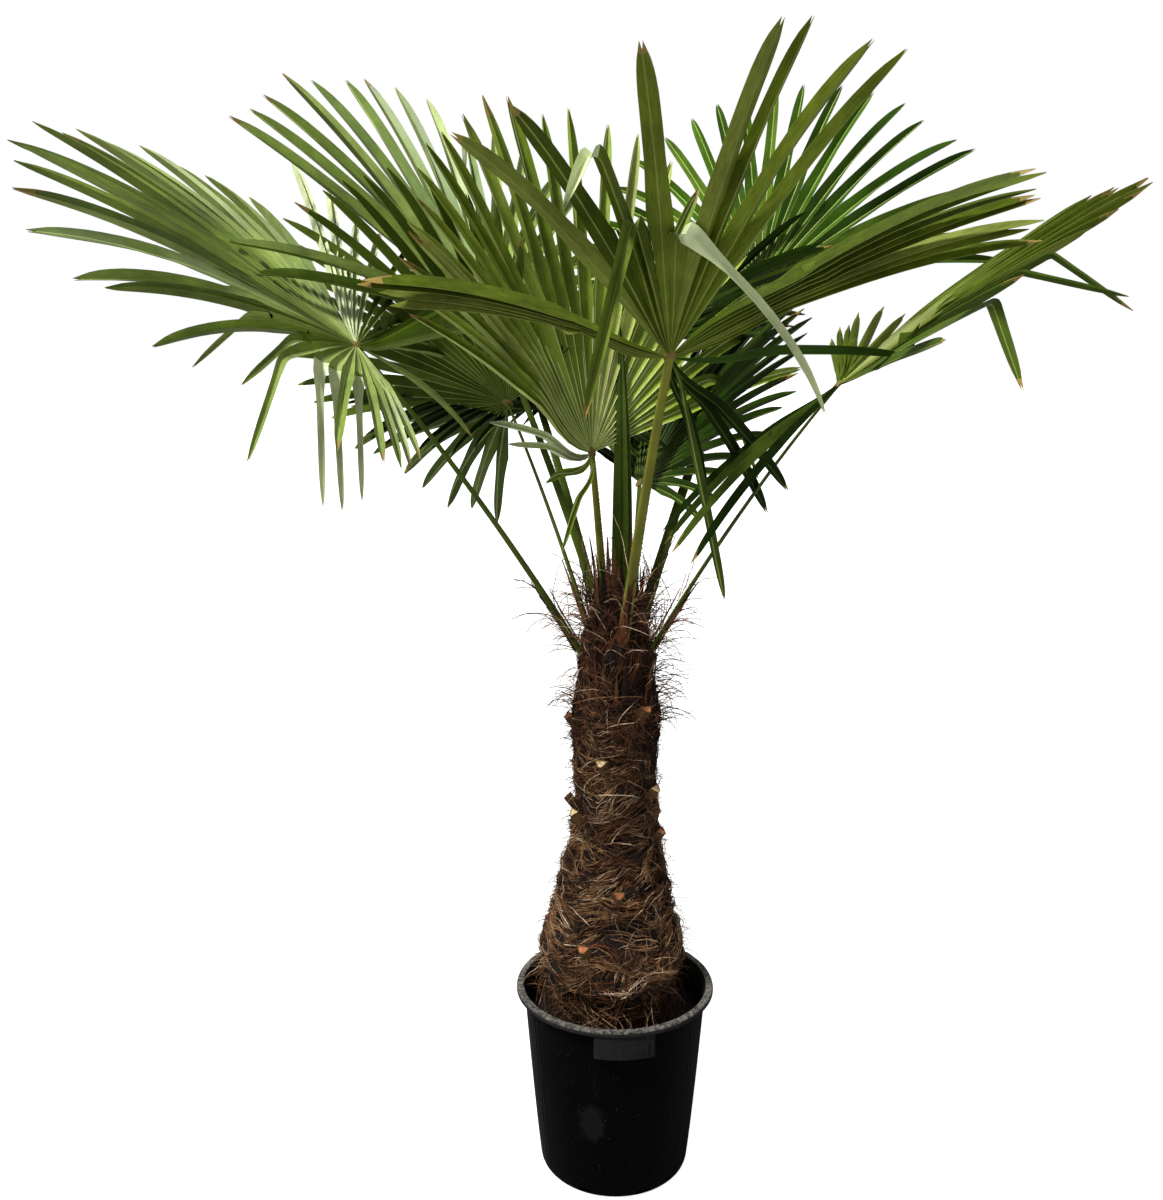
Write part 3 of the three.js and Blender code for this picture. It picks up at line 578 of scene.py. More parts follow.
class Line:
    """The line that a leaflet follows from the hub to its tip."""

    def __init__(self, frond, axes, angle, style):
        spread = math.radians(frond["cup"]) * (0.35 + 0.65 * abs(math.sin(angle)))
        basal = (abs(angle) / HALF_SPREAD) ** 1.8
        self.length = frond["reach"] * MM * (1 - frond["taper"] * basal) * style["trim"]
        self.twist = style["twist"]
        droop = (frond["droop"] + frond["sag"] * (angle / HALF_SPREAD) ** 2) * style["droop"]
        drawn = shift(frond, angle)
        self.points = [Vector(frond["hub"]) * MM]
        self.tangents, self.acrosses = [], []
        for step in range(STEPS):
            share = (step + 0.5) / STEPS * style["trim"]
            free = max(0, share - SPLIT) / (1 - SPLIT)
            part = min(1, share / GATHERED)
            turned = angle + drawn * part * part * (3 - 2 * part)
            turned += math.radians(style["aim"])
            veer = drawn * 6 * part * (1 - part) * part
            across = axes.side * math.cos(turned) - axes.forward * math.sin(turned)
            flat = axes.forward * math.cos(turned) + axes.side * math.sin(turned)
            flat = (flat + across * veer).normalized()
            outward = flat * math.cos(spread) + axes.normal * math.sin(spread)
            heading = outward - UP * droop * share * share
            heading += axes.normal * style["lift"] * min(1, free * 2.5)
            heading += axes.normal * style["rise"] * min(1, share * 5)
            heading += across * style["bend"] * free
            heading.normalize()
            if "fold" in style:
                fallen = (share - style["fold"]) / (1 - style["fold"])
                aside = style["aside"] * (1 + style["curl"] * (1 - 2 * fallen))
                hanging = Vector((outward.x, outward.y, 0)) * style["outward"]
                hanging = (hanging + axes.side * aside - UP).normalized()
                folded = smooth(style["fold"], style["fold"] + style["over"], share)
                heading = heading.lerp(hanging, folded).normalized()
            self.tangents.append(heading)
            self.acrosses.append(across)
            self.points.append(self.points[-1] + heading * self.length / STEPS)
        self.tangents.append(self.tangents[-1])

    def at(self, share):
        """Point, width direction and upper normal at a share of the length."""
        place = min(max(share, 0), 1) * STEPS
        step = min(int(place), STEPS - 1)
        point = self.points[step].lerp(self.points[step + 1], place - step)
        ahead = self.tangents[step + 1]
        tangent = self.tangents[step].lerp(ahead, place - step).normalized()
        width = square_to(tangent, self.acrosses[step])
        turn = self.twist * smooth(SPLIT, 1, share)
        if turn:
            width = Matrix.Rotation(turn, 3, tangent) @ width
        return point, width, width.cross(tangent)


STATIONS = [0.012, 0.04, 0.09, 0.15, 0.22, 0.29, 0.36, 0.42, 0.47, 0.52, 0.57, 0.62, 0.67,
            0.72, 0.77, 0.82, 0.86, 0.9, 0.93, 0.96, 0.98, 1.0]
FREE_WIDTHS = [(0, 1), (0.5, 1.05), (0.74, 1.06), (0.86, 0.98), (0.92, 0.85), (0.96, 0.64),
               (0.985, 0.42), (1, 0.2)]
PLEAT = 0.46
FOLDING = 0.27  # how much narrower a leaflet's free part is for being folded along its rib
HALF_THICKNESS, KEEL = 0.45 * MM, 0.6 * MM
RIB_HALF_WIDTH, MARGIN = 1.1 * MM, 0.8 * MM
MAX_RIB_SHARE = 0.16
TIP_NOTCH, TIP_SHAPE = 9 * MM, (0.6, 1, -0.4, -0.4, 1, 0.6)
ACROSS = 5  # strips across a leaflet: margin, half, midrib, half, margin
RIB_STRIP, RIB_EDGES, MARGINS = 2, (2, 3), (0, 4)
SPLIT_EASE = 0.05
LEAF_TEXTURE = 20  # texture lengths to a metre of leaflet


def leaflet_stations(style):
    """Shares of the length with corners: closer together where the leaflet folds over."""
    if "fold" not in style:
        return STATIONS
    fold, over = style["fold"] / style["trim"], style["over"] / style["trim"]
    bends = [fold + over * k / 8 for k in range(9)]
    kept = [s for s in STATIONS if not bends[0] - 0.02 < s < bends[-1] + 0.02]
    return sorted(kept + [s for s in bends if s < 0.97])


def leaflet_depth(station, style):
    """How deep the pleat is: flatter towards the tip, and nearly flat where it folds."""
    depth = PLEAT * (1 - 0.45 * smooth(SPLIT, 1, station))
    if "fold" in style:
        middle = (style["fold"] + style["over"] / 2) / style["trim"]
        depth *= 1 - 0.8 * math.exp(-(((station - middle) / 0.12) ** 2))
    return depth


def add_leaflet(builder, lines, splits, style, slots, dry):
    """One pleated leaflet: joined to its neighbours up to the splits, free beyond them."""
    left_line, middle, right_line = lines
    spread = (right_line.at(SPLIT)[0] - left_line.at(SPLIT)[0]).length / 2
    folded = (style["fold"] + style["over"] / 2) / style["trim"] if "fold" in style else 2
    previous = None
    for station in leaflet_stations(style):
        centre, width, normal = middle.at(station)
        folding = 1 - FOLDING * smooth(max(splits), max(splits) + 0.25, station)
        half = spread * between(FREE_WIDTHS, station) * folding
        half *= min(1, station / SPLIT) ** 0.6 * style["slim"]
        if "fold" in style:
            half *= 1 - (1 - style["narrow"]) * smooth(SPLIT, folded + 0.15, station)
        edges = []
        for sign, line, split in ((-1, left_line, splits[0]), (1, right_line, splits[1])):
            own = centre + width * sign * half
            shared = line.at(min(station, split + SPLIT_EASE))[0]
            edges.append(shared.lerp(own, smooth(split, split + SPLIT_EASE, station)))
        reach = max((edges[1] - edges[0]).length / 2, 1e-4)
        # The two halves keep their width: where the fan draws together, the pleat deepens.
        closing = 1 + (style["closed"] - 1) * smooth(0, GATHERED, station)
        natural = reach / folding / style["slim"] / closing
        pleat = leaflet_depth(station, style)
        tall = natural**2 * (1 + 4 * pleat**2) - reach**2
        depth = normal * math.sqrt(max(tall, (0.3 * natural) ** 2)) / 2
        low = centre - depth
        rib = min(MAX_RIB_SHARE, RIB_HALF_WIDTH / reach)
        margin = 1 - min(MAX_RIB_SHARE, MARGIN / reach)
        across = [-1, -margin, -rib, rib, margin, 1]
        shape = [low.lerp(edges[0 if u < 0 else 1] + depth, abs(u)) for u in across]
        if station == 1.0:
            ahead = (middle.points[-1] - middle.points[-2]).normalized() * TIP_NOTCH
            shape = [point + ahead * part for point, part in zip(shape, TIP_SHAPE)]
        thick, keel = normal * HALF_THICKNESS, normal * KEEL
        top = builder.row([point + thick for point in shape])
        bottom = builder.row([
            point - thick - keel * (k in RIB_EDGES) for k, point in enumerate(shape)
        ])
        along = station * middle.length * LEAF_TEXTURE
        places = [u * reach * LEAF_TEXTURE for u in across]
        if previous:
            old_top, old_bottom, old_places, old_along = previous
            for k in range(ACROSS):
                upper, lower = slots["top"], slots["under"]
                if station > 1 - dry or (station > 1 - dry * 3 and k in MARGINS):
                    upper = lower = slots["tip"]
                # Past the fold, pale leaflets take the painted sky sheen on both sides.
                elif station > folded and slots["pale"]:
                    upper = lower = slots["pale"]
                elif k == RIB_STRIP:
                    upper = lower = slots["rib"]
                # The margins of the joined part take the midrib colour on top: pale ribs, and in
                # part a painted highlight where the pleat ridges catch the light.
                elif k in MARGINS and station <= max(splits):
                    upper = slots["rib"]
                uv = [(old_places[k], old_along), (old_places[k + 1], old_along),
                      (places[k + 1], along), (places[k], along)]
                builder.face([old_top[k], old_top[k + 1], top[k + 1], top[k]], upper, uv)
                builder.face(
                    [old_bottom[k + 1], old_bottom[k], bottom[k], bottom[k + 1]], lower,
                    [uv[1], uv[0], uv[3], uv[2]],
                )
            builder.face([old_bottom[0], old_top[0], top[0], bottom[0]], slots["under"])
            builder.face([old_top[5], old_bottom[5], bottom[5], top[5]], slots["under"])
        else:
            for k in range(ACROSS):
                builder.face([top[k], bottom[k], bottom[k + 1], top[k + 1]], slots["under"])
        previous = (top, bottom, places, along)
    for k in range(ACROSS):
        builder.face(
            [top[k + 1], bottom[k + 1], bottom[k], top[k]], slots["tip" if dry else "under"]
        )


def frond_edges(frond):
    """The angles between a frond's leaflets, from one side of the fan to the other."""
    count = frond.get("leaflets", LEAFLETS)
    return [HALF_SPREAD * (2 * k / count - 1) for k in range(count + 1)]


def fan_tree(frond, axes, present):
    """The joined part of a fan as a search tree, for keeping other leaflets out of it."""
    edges = frond_edges(frond)
    points, faces = [Vector(frond["hub"]) * MM], []
    for index in present:
        a, b = (Line(frond, axes, edges[k], PLAIN) for k in (index, index + 1))
        start = len(points)
        points += [a.at(0.2)[0], b.at(0.2)[0], a.at(SPLIT)[0], b.at(SPLIT)[0]]
        faces += [(0, start, start + 1), (start, start + 2, start + 3, start + 1)]
    return BVHTree.FromPolygons(points, faces)


def blocked(line, trees, start, end):
    """Whether a leaflet's line passes through another frond between two shares."""
    points = [line.at(start + (end - start) * k / 9)[0] for k in range(10)]
    for a, b in zip(points, points[1:]):
        step = b - a
        for tree in trees:
            if tree.ray_cast(a, step.normalized(), step.length)[0] is not None:
                return True
    return False


# Of each frond's leaflets, how many have dry ends, and how much of each has dried.
DRY_FRONDS = {"right": (0.7, 0.012), "left": (0.4, 0.02)}
DRY_ELSEWHERE = (0.25, 0.015)
FREE_SPLIT = 0.03  # where a leaflet that hangs free of its neighbours leaves them
DODGES = (0, 0.12, -0.12, 0.26, -0.26)  # lifts tried in turn to pass other fronds


def make_frond(name, frond, axes, trees, materials, rng):
    """The blade of one frond; returns the leaflets that it has."""
    edges = frond_edges(frond)
    step = edges[1] - edges[0]
    edge_lines = [Line(frond, axes, edge, PLAIN) for edge in edges]
    splits = [SPLIT + rng.uniform(-0.09, 0.05) for _ in edges]
    top_greens, under_greens, others = materials[frond["tint"]]
    tops, unders = len(top_greens), len(under_greens)
    other = {part: tops + unders + k for k, part in enumerate(OTHERS)}
    builder = Builder()
    present = []
    for index in range(len(edges) - 1):
        angle = edges[index] + step / 2
        draws = [rng.random() for _ in range(8)]
        degrees = math.degrees(angle)
        if any(low <= degrees <= high for low, high in frond["gaps"]):
            continue
        fold = next((
            entry for entry in FOLDED.get(name, [])
            if abs(entry["at"] - degrees) <= math.degrees(step) / 2
        ), None)
        style = dict(
            PLAIN, trim=1 - 0.06 * draws[0], lift=0.05 * (draws[1] - 0.5),
            bend=0.16 * (draws[2] - 0.5), droop=0.85 + 0.3 * draws[3],
            twist=math.radians(40 * (draws[4] - 0.5)),
        )
        style["trim"] *= between(frond.get("lengths", [(0, 1)]), degrees)
        drawn = shift(frond, edges[index + 1]) - shift(frond, edges[index])
        style["closed"] = max(0.12, 1 + drawn / step)
        if fold:
            style.update({**FOLDED_STYLE, **fold})
        for low, high, changes in frond.get("special", []):
            if low <= degrees <= high:
                length = style["trim"]
                if "trim" in changes:
                    length = changes["trim"] * (0.85 + 0.3 * draws[0])
                style.update(changes, trim=length)
        middle = Line(frond, axes, angle, style)
        if blocked(middle, trees, FREE_SPLIT, SPLIT):
            continue
        for lift in DODGES:
            tried = dict(style, lift=style["lift"] + lift)
            middle = Line(frond, axes, angle, tried)
            if not blocked(middle, trees, SPLIT, 1):
                break
        present.append(index)
        slots = dict(
            top=int(draws[6] * tops), under=tops + int(draws[5] * unders), rib=other["rib"],
            pale=other["light"] if style["pale"] else 0, tip=other["tip"],
        )
        # A tint of its own covers the whole leaflet: 'light' is a painted sky sheen, 'shade' and
        # 'dim' are painted shade, and shaded leaflets take painted shade on their midribs too.
        if "tint" in style:
            slots.update(top=other[style["tint"]], under=other[style["tint"]])
            if style["tint"] == "shade":
                slots.update(rib=other["dim"])
        often, much = DRY_FRONDS.get(name, DRY_ELSEWHERE)
        dry = much * (0.5 + draws[7] / often) if draws[7] < often else 0
        ends = (FREE_SPLIT,) * 2 if "free" in style else splits[index:index + 2]
        lines = (edge_lines[index], middle, edge_lines[index + 1])
        add_leaflet(builder, lines, ends, tried, slots, dry)
    palette = [*top_greens, *under_greens, *others]
    dress(builder.object("leaflets_" + name, palette, sharp=24), "fan_leaf", "blade_" + name)
    return present


def petiole_path(frond, share):
    """A point and direction on the stalk's curve from the trunk to the hub."""
    base, hub = Vector(frond["base"]) * MM, Vector(frond["hub"]) * MM
    middle = (base + hub) / 2 + UP * PETIOLE_BOW * (hub - base).length
    direction = (middle - base) * (1 - share) + (hub - middle) * share
    return curve(base, middle, hub, share), direction.normalized()


def tapered(ends, share):
    """Half a stalk's width or depth at a share of its length."""
    return (ends[0] + (ends[1] - ends[0]) * max(share, 0) ** 0.6) / 2 * MM


STALK_SIDES, STALK_STATIONS, SUNK_STATIONS = 14, 44, 3
STALK_FLATNESS = 0.35  # how high its upper side is beside its lower one
STALK_END = 5 * MM  # how far it runs on into the blade
TEETH, TOOTH_LENGTH, TOOTH_SUNK = 46, 2.6 * MM, 0.8 * MM
TOOTH_HALF_FOOT, TOOTH_HALF_THICKNESS = 1.6 * MM, 0.7 * MM


def make_petiole(name, frond, axes, material):
    """A stalk that is flat above and round below, with small teeth along both margins."""
    builder = Builder()
    rings = []
    for k in range(-SUNK_STATIONS, STALK_STATIONS + 1):
        share = k / STALK_STATIONS
        point, direction = petiole_path(frond, max(share, 0))
        if k < 0:
            point = point + direction * PETIOLE_SUNK * MM * k / SUNK_STATIONS
        if k == STALK_STATIONS:
            direction = (direction + axes.forward).normalized()
            point = point + direction * STALK_END
        side = square_to(direction, axes.side)
        half_width, half_depth = (tapered(e, share) for e in (PETIOLE_WIDTHS, PETIOLE_DEPTHS))
        ring = []
        for angle in full_turn(STALK_SIDES):
            height = math.sin(angle)
            height *= STALK_FLATNESS if height > 0 else 1
            ring.append(point + side * math.cos(angle) * half_width
                        + side.cross(direction) * height * half_depth)
        rings.append(ring)
    skin(builder, rings)
    rng = random.Random(name)
    for k in range(TEETH):
        share = 0.16 + 0.8 * k / TEETH + rng.uniform(-0.006, 0.006)
        point, direction = petiole_path(frond, share)
        side = square_to(direction, axes.side)
        along, up = direction * TOOTH_HALF_FOOT, side.cross(direction) * TOOTH_HALF_THICKNESS
        for out in (-side, side):
            foot = point + out * (tapered(PETIOLE_WIDTHS, share) - TOOTH_SUNK)
            row = builder.row([foot - along, foot + along, foot + up, foot - up,
                               foot + out * TOOTH_LENGTH + along])
            for a, b in ((0, 2), (2, 1), (1, 3), (3, 0)):
                builder.face([row[a], row[b], row[4]])
            builder.face([row[3], row[1], row[2], row[0]])
    dress(builder.object("stalk_" + name, [material], sharp=40), "leaf_stalk", "petiole_" + name)


HASTULA_BACK, HASTULA_LENGTH, HASTULA_HALF_WIDTH, HASTULA_HALF_HEIGHT = 10, 26, 11, 4.2


def make_hastula(name, frond, axes, material):
    """The small tongue where the stalk meets the blade."""
    builder = Builder()
    hub = Vector(frond["hub"]) * MM
    rings = []
    for k in range(7):
        share = k / 6
        swell = math.sin(math.pi * (0.18 + 0.8 * share))
        centre = hub + axes.forward * (share * HASTULA_LENGTH - HASTULA_BACK) * MM
        rings.append(oval(
            centre, axes.side, axes.normal, HASTULA_HALF_WIDTH * MM * swell,
            HASTULA_HALF_HEIGHT * MM * swell, 10,
        ))
    skin(builder, rings)
    dress(builder.object("hastula_" + name, [material], sharp=50), "leaf_stalk")


SPEAR_FOOT, SPEAR_KNEE, SPEAR_TIP = (6, 2, 1090), (12, 30, 1390), (4, 118, 1700)
SPEAR_HALF_WIDTH, SPEAR_FLATNESS = 21, 0.6
SPEAR_PLEAT = (1, 0.74, 0.52, 0.74)  # how far out the corners of each pleat stand
SPEAR_PLEATS, SPEAR_STATIONS = 7, 40


def make_spear(material):
    """A young leaf that is still closed: a tapering bundle of pleats."""
    builder = Builder()
    foot, knee, tip = (Vector(place) * MM for place in (SPEAR_FOOT, SPEAR_KNEE, SPEAR_TIP))
    corners = list(zip(full_turn(4 * SPEAR_PLEATS), SPEAR_PLEAT * SPEAR_PLEATS))
    rings = []
    for k in range(SPEAR_STATIONS + 1):
        share = k / SPEAR_STATIONS
        size = SPEAR_HALF_WIDTH * MM * min(1, 0.6 + 2 * share) * (1.02 - share**3)
        rings.append([
            curve(foot, knee, tip, share)
            + Vector((math.cos(angle), math.sin(angle) * SPEAR_FLATNESS, 0)) * size * rib
            for angle, rib in corners
        ])
    skin(builder, rings)
    dress(builder.object("spear_leaf", [material], sharp=30), "leaf_stalk")


# ---- Trunk ----------------------------------------------------------------------------------


def trunk_radius(height):
    return between(TRUNK_STATIONS, height)


def trunk_middle(height):
    share = math.exp(-(((height - TRUNK_LEAN_HEIGHT) / TRUNK_LEAN_SPREAD) ** 2))
    return TRUNK_LEAN * share if height > SOIL_CROWN else 0


LEDGE_PITCH, LEDGE_WANDER = 64, 0.8  # the spiral's rise in one turn, and how far it strays
LEDGE_DEPTH, LOW_LEDGE_DEPTH = 6, 5  # the second comes on top below the trunk's middle
RIPPLES = ((5, 5, 24), (2.4, 15, 8), (1, 45, 3))  # how deep, how fine, how tall
HEAD_SUNK = 4  # how far the head's core lies in, under its sheaths


def ripple(angle, height, fine, tall, aside=0):
    """Smooth noise over the trunk: fine across it, and drawn out along it by tall."""
    return noise.noise(Vector((
        math.cos(angle) * fine + aside, math.sin(angle) * fine, height / tall
    )))


def trunk_surface(angle, height, lift=0):
    """A point on the fibre's surface, or some millimetres off it."""
    radius = trunk_radius(height)
    if height > SOIL_CROWN:
        # Old leaf bases overlap in a slow spiral: each swells upward and then steps in.
        wander = ripple(angle, height, 1.6, 70)
        ledge = (height / LEDGE_PITCH + angle / (2 * math.pi) + wander * LEDGE_WANDER) % 1
        bulge = (LEDGE_DEPTH + LOW_LEDGE_DEPTH * smooth(760, 560, height)) * (ledge**1.7 - 0.6)
        for size, fine, tall in RIPPLES:
            bulge += size * ripple(angle, height, fine, tall)
        radius += bulge * min(1, radius / 60) * smooth(SOIL_CROWN, SOIL_CROWN + 25, height)
        radius -= HEAD_SUNK * smooth(940, 1000, height) * (1 - smooth(1130, 1160, height))
    return about_axis(angle, radius + lift, height) + Vector((trunk_middle(height) * MM, 0, 0))


def make_trunk(material):
    """The trunk's core, which shows as dark ledges between the fibres."""
    builder = Builder()
    sides, rings = 160, 200
    low, high = TRUNK_STATIONS[0][0] + 0.5, TRUNK_STATIONS[-1][0]
    skin(builder, [
        [trunk_surface(angle, low + (high - low) * k / rings) for angle in full_turn(sides)]
        for k in range(rings + 1)
    ])
    dress(builder.object("trunk_fibre_core", [material]), "trunk_fibre", "trunk")


def add_strand(builder, points, radius, slot=0):
    """A thin three-sided strand through points, tapering to its end."""
    rings = []
    last = len(points) - 1
    for k, point in enumerate(points):
        direction = (points[min(k + 1, last)] - points[max(k - 1, 0)]).normalized()
        side = direction.orthogonal().normalized()
        size = radius * (1 - 0.75 * (k / last) ** 2) * MM
        rings.append(oval(point, side, direction.cross(side), size, size, 3))
    skin(builder, rings, slot)


# Zones of the trunk: the heights that locks start from, how many, how steeply they climb, how
# much they swirl, how far they stand off, and how their colours are dealt: dark, brown, tan,
# pale, reddish.
LOCK_ZONES = [
    dict(low=350, high=455, count=130, slope=0, swirl=0.8, off=9, deal=(4, 6, 4, 1, 4)),
    dict(low=430, high=640, count=205, slope=0.08, swirl=1, off=10, deal=(2, 5, 6, 2, 4)),
    dict(low=600, high=860, count=190, slope=0.1, swirl=1.5, off=8, deal=(3, 6, 4, 1, 3)),
    dict(low=830, high=1010, count=120, slope=0.3, swirl=1.8, off=8, deal=(4, 5, 3, 1, 3)),
    dict(low=960, high=1120, count=130, slope=1.25, swirl=0.5, off=5, deal=(6, 5, 1, 0, 5)),
]
FIBRES_IN_LOCK, LOCK_STEPS = 9, 6
STRAWS, STRAW_STEPS = 70, 8
LOCK_CROWN = 1206  # no fibre that follows the trunk goes higher
LEAST_RADIUS = 30  # where the trunk is thinner, fibres go round it no faster


def deal(rng, shares):
    """An index drawn by weight."""
    draw = rng.random() * sum(shares)
    for index, share in enumerate(shares):
        draw -= share
        if draw < 0:
            return index
    return 0


def swirl(angle, height):
    """How steeply the fibres climb at a place on the trunk: neighbours lie alike."""
    return ripple(angle, height, 1.5, 55) + 0.5 * ripple(angle, height, 4, 22, 9)


def make_lock(builder, rng, zone):
    """A lock of fibres that follows the swirl some way round the trunk, its ends loose."""
    start, foot = rng.uniform(0, 2 * math.pi), rng.uniform(zone["low"], zone["high"])
    way = rng.choice((-1, 1))
    crossing = rng.gauss(0, 0.12) if rng.random() < 0.7 else rng.gauss(0, 0.9)
    length = rng.uniform(50, 180)
    depth = rng.uniform(0, 1) ** 1.6 * zone["off"]
    color = deal(rng, zone["deal"])
    thick = 1.7 if rng.random() < 0.3 else 1
    for _ in range(FIBRES_IN_LOCK):
        angle = start + rng.gauss(0, 7) / trunk_radius(foot)
        height = foot + rng.gauss(0, 7)
        lean = zone["slope"] * way + crossing + rng.gauss(0, 0.14)
        reach = length * rng.uniform(0.5, 1.1)
        lift, loose = depth + rng.uniform(-1, 1.5), max(0, rng.gauss(2, 5))
        points = []
        for k in range(LOCK_STEPS + 1):
            share = k / LOCK_STEPS
            off = lift * math.sin(math.pi * min(1, 0.1 + share)) + loose * share**3
            points.append(trunk_surface(angle, height, off))
            heading = lean + zone["swirl"] * swirl(angle, height)
            stride = way * reach / LOCK_STEPS
            angle += math.cos(heading) * stride / max(trunk_radius(height), LEAST_RADIUS)
            height += math.sin(heading) * stride * (way if zone["slope"] > 1 else 1)
            if height > LOCK_CROWN and k > 0:
                break
            height = min(LOCK_CROWN, max(SOIL_CROWN + 4, height))
        slot = color if rng.random() < 0.75 else deal(rng, zone["deal"])
        add_strand(builder, points, rng.uniform(0.35, 0.8) * thick, slot)


def make_straw(builder, rng):
    """A single coarse pale fibre that springs off the trunk and falls back across it."""
    angle, height = rng.uniform(0, 2 * math.pi), rng.uniform(400, 1080)
    way, lean = rng.choice((-1, 1)), rng.gauss(0, 0.8)
    reach, off = rng.uniform(50, 130), rng.uniform(4, 16)
    points = []
    for k in range(STRAW_STEPS + 1):
        share = k / STRAW_STEPS
        points.append(trunk_surface(angle, height, 1 + off * math.sin(math.pi * share**0.8)))
        heading, stride = lean - 1.2 * (share - 0.4), reach / STRAW_STEPS
        angle += way * math.cos(heading) * stride / max(trunk_radius(height), LEAST_RADIUS)
        height += math.sin(heading) * stride
        height = min(LOCK_CROWN, max(SOIL_CROWN + 8, height))
    add_strand(builder, points, rng.uniform(0.7, 1.15), rng.choice((2, 3, 3)))


def trail(rng, point, heading, pull, length, steps):
    """Points along a loose hair: it sets off one way and is pulled over as it goes."""
    points = [point]
    for k in range(steps):
        wobble = Vector((rng.gauss(0, 1), rng.gauss(0, 1), rng.gauss(0, 1))) * 0.16
        heading = (heading + (pull + wobble) * (0.5 + 1.2 * k / steps)).normalized()
        points.append(points[-1] + heading * length / steps * MM)
    return points


# Tufts of loose hairs: heights, count, hairs in each, lengths, how much they rise, how thick
# they are, and colours.
TUFT_ZONES = [
    dict(low=360, high=640, count=135, hairs=7, length=(12, 74), rise=0.25, size=0.55,
         deal=(4, 5, 3, 1, 2)),
    dict(low=600, high=960, count=135, hairs=7, length=(12, 70), rise=0.3, size=0.5,
         deal=(4, 5, 2, 1, 2)),
    dict(low=940, high=1045, count=38, hairs=8, length=(30, 130), rise=0.8, size=0.8,
         deal=(5, 4, 2, 1, 2)),
    dict(low=1040, high=1120, count=28, hairs=6, length=(40, 145), rise=1.5, size=0.9,
         deal=(7, 4, 1, 1, 3)),
    dict(low=1110, high=1190, count=28, hairs=5, length=(60, 160), rise=3, size=1,
         deal=(7, 4, 1, 1, 3)),
]


def make_tuft(builder, rng, zone, place=None):
    """Loose hairs from one spot: they part, curl and sink."""
    angle, height = place or (rng.uniform(0, 2 * math.pi), rng.uniform(zone["low"], zone["high"]))
    aside = rng.gauss(0, 0.9)
    curl = rng.gauss(0, 0.35)
    for _ in range(zone["hairs"]):
        turn = angle + rng.gauss(0, 0.08)
        outward, around = level(turn), level(turn + math.pi / 2)
        foot = trunk_surface(turn, height + rng.gauss(0, 8), -2)
        heading = outward + around * (aside + rng.gauss(0, 0.35))
        heading += UP * (zone["rise"] + rng.gauss(0, 0.35))
        pull = around * (curl + rng.gauss(0, 0.15)) - UP * rng.uniform(0.05, 0.4)
        pull += outward * rng.uniform(-0.1, 0.12)
        length = rng.uniform(*zone["length"])
        points = trail(rng, foot, heading.normalized(), pull, length, 5 if length < 40 else 7)
        size = zone["size"] * rng.uniform(0.6, 1.3)
        add_strand(builder, points, size, deal(rng, zone["deal"]))


SKIRT_BUNCHES, SKIRT_STEPS = 38, 6
SKIRT_EDGE = 168  # how far out the loose fibres lie on the soil


def make_skirt(builder, rng):
    """Bunches of fine roots that run from the trunk's foot out over the soil."""
    for _ in range(SKIRT_BUNCHES):
        middle, spread = rng.uniform(0, 2 * math.pi), rng.gauss(0, 0.5)
        forward = max(0, -math.sin(middle)) ** 2
        length = rng.uniform(8, 34 + 44 * forward)
        shares = (2, 3, 4, 3, 1) if rng.random() < 0.14 else (10, 4, 0, 0, 6)
        for _ in range(rng.randint(5, 14)):
            angle, height = middle + rng.gauss(0, 0.09), rng.uniform(338, 420)
            reach, drift = length * rng.uniform(0.5, 1.2), spread + rng.gauss(0, 0.25)
            start = trunk_surface(angle, height, rng.uniform(0, 5)) / MM
            radius = math.hypot(start.x, start.y)
            arch = rng.uniform(0, 16)
            points = []
            for k in range(SKIRT_STEPS + 1):
                share = k / SKIRT_STEPS
                turn = angle + drift * share + rng.gauss(0, 0.03)
                out = min(radius + reach * share, SKIRT_EDGE)
                ground = soil_height(turn, out) + rng.uniform(0.5, 4)
                fall = height - (height - ground) * min(1, share * 1.4)
                fall += arch * math.sin(math.pi * share)
                points.append(about_axis(turn, out, max(ground, fall)))
            thick = 2 if rng.random() < 0.1 else 1
            add_strand(builder, points, rng.uniform(0.35, 0.8) * thick, deal(rng, shares))


COLLAR = dict(hairs=13, length=(20, 40), rise=0.9, size=0.6, deal=(3, 5, 4, 1, 3))


def make_fibres(materials):
    """The locks, the tufts, the straws with the stubs' collars of hair, and the skirt."""
    rng = random.Random(3)
    for index, zone in enumerate(LOCK_ZONES):
        builder = Builder()
        for _ in range(zone["count"]):
            make_lock(builder, rng, zone)
        dress(builder.object(f"fibre_locks_{index}", materials), "trunk_fibre")
    builder = Builder()
    for zone in TUFT_ZONES:
        for _ in range(zone["count"]):
            make_tuft(builder, rng, zone)
    dress(builder.object("fibre_tufts", materials), "trunk_fibre")
    builder = Builder()
    for _ in range(STRAWS):
        make_straw(builder, rng)
    for turn, height in STUBS:
        for side in (-1, 0, 1):
            angle = math.radians(turn - 90) + side * 15 / trunk_radius(height)
            make_tuft(builder, rng, COLLAR, (angle, height - 16 + 5 * abs(side)))
    dress(builder.object("fibre_straws", materials), "trunk_fibre")
    builder = Builder()
    make_skirt(builder, rng)
    dress(builder.object("fibre_skirt", materials), "trunk_fibre")


TONGUE_STEPS, TONGUE_TIP, TONGUE_THICKNESS = 8, 0.8, 1.5 * MM


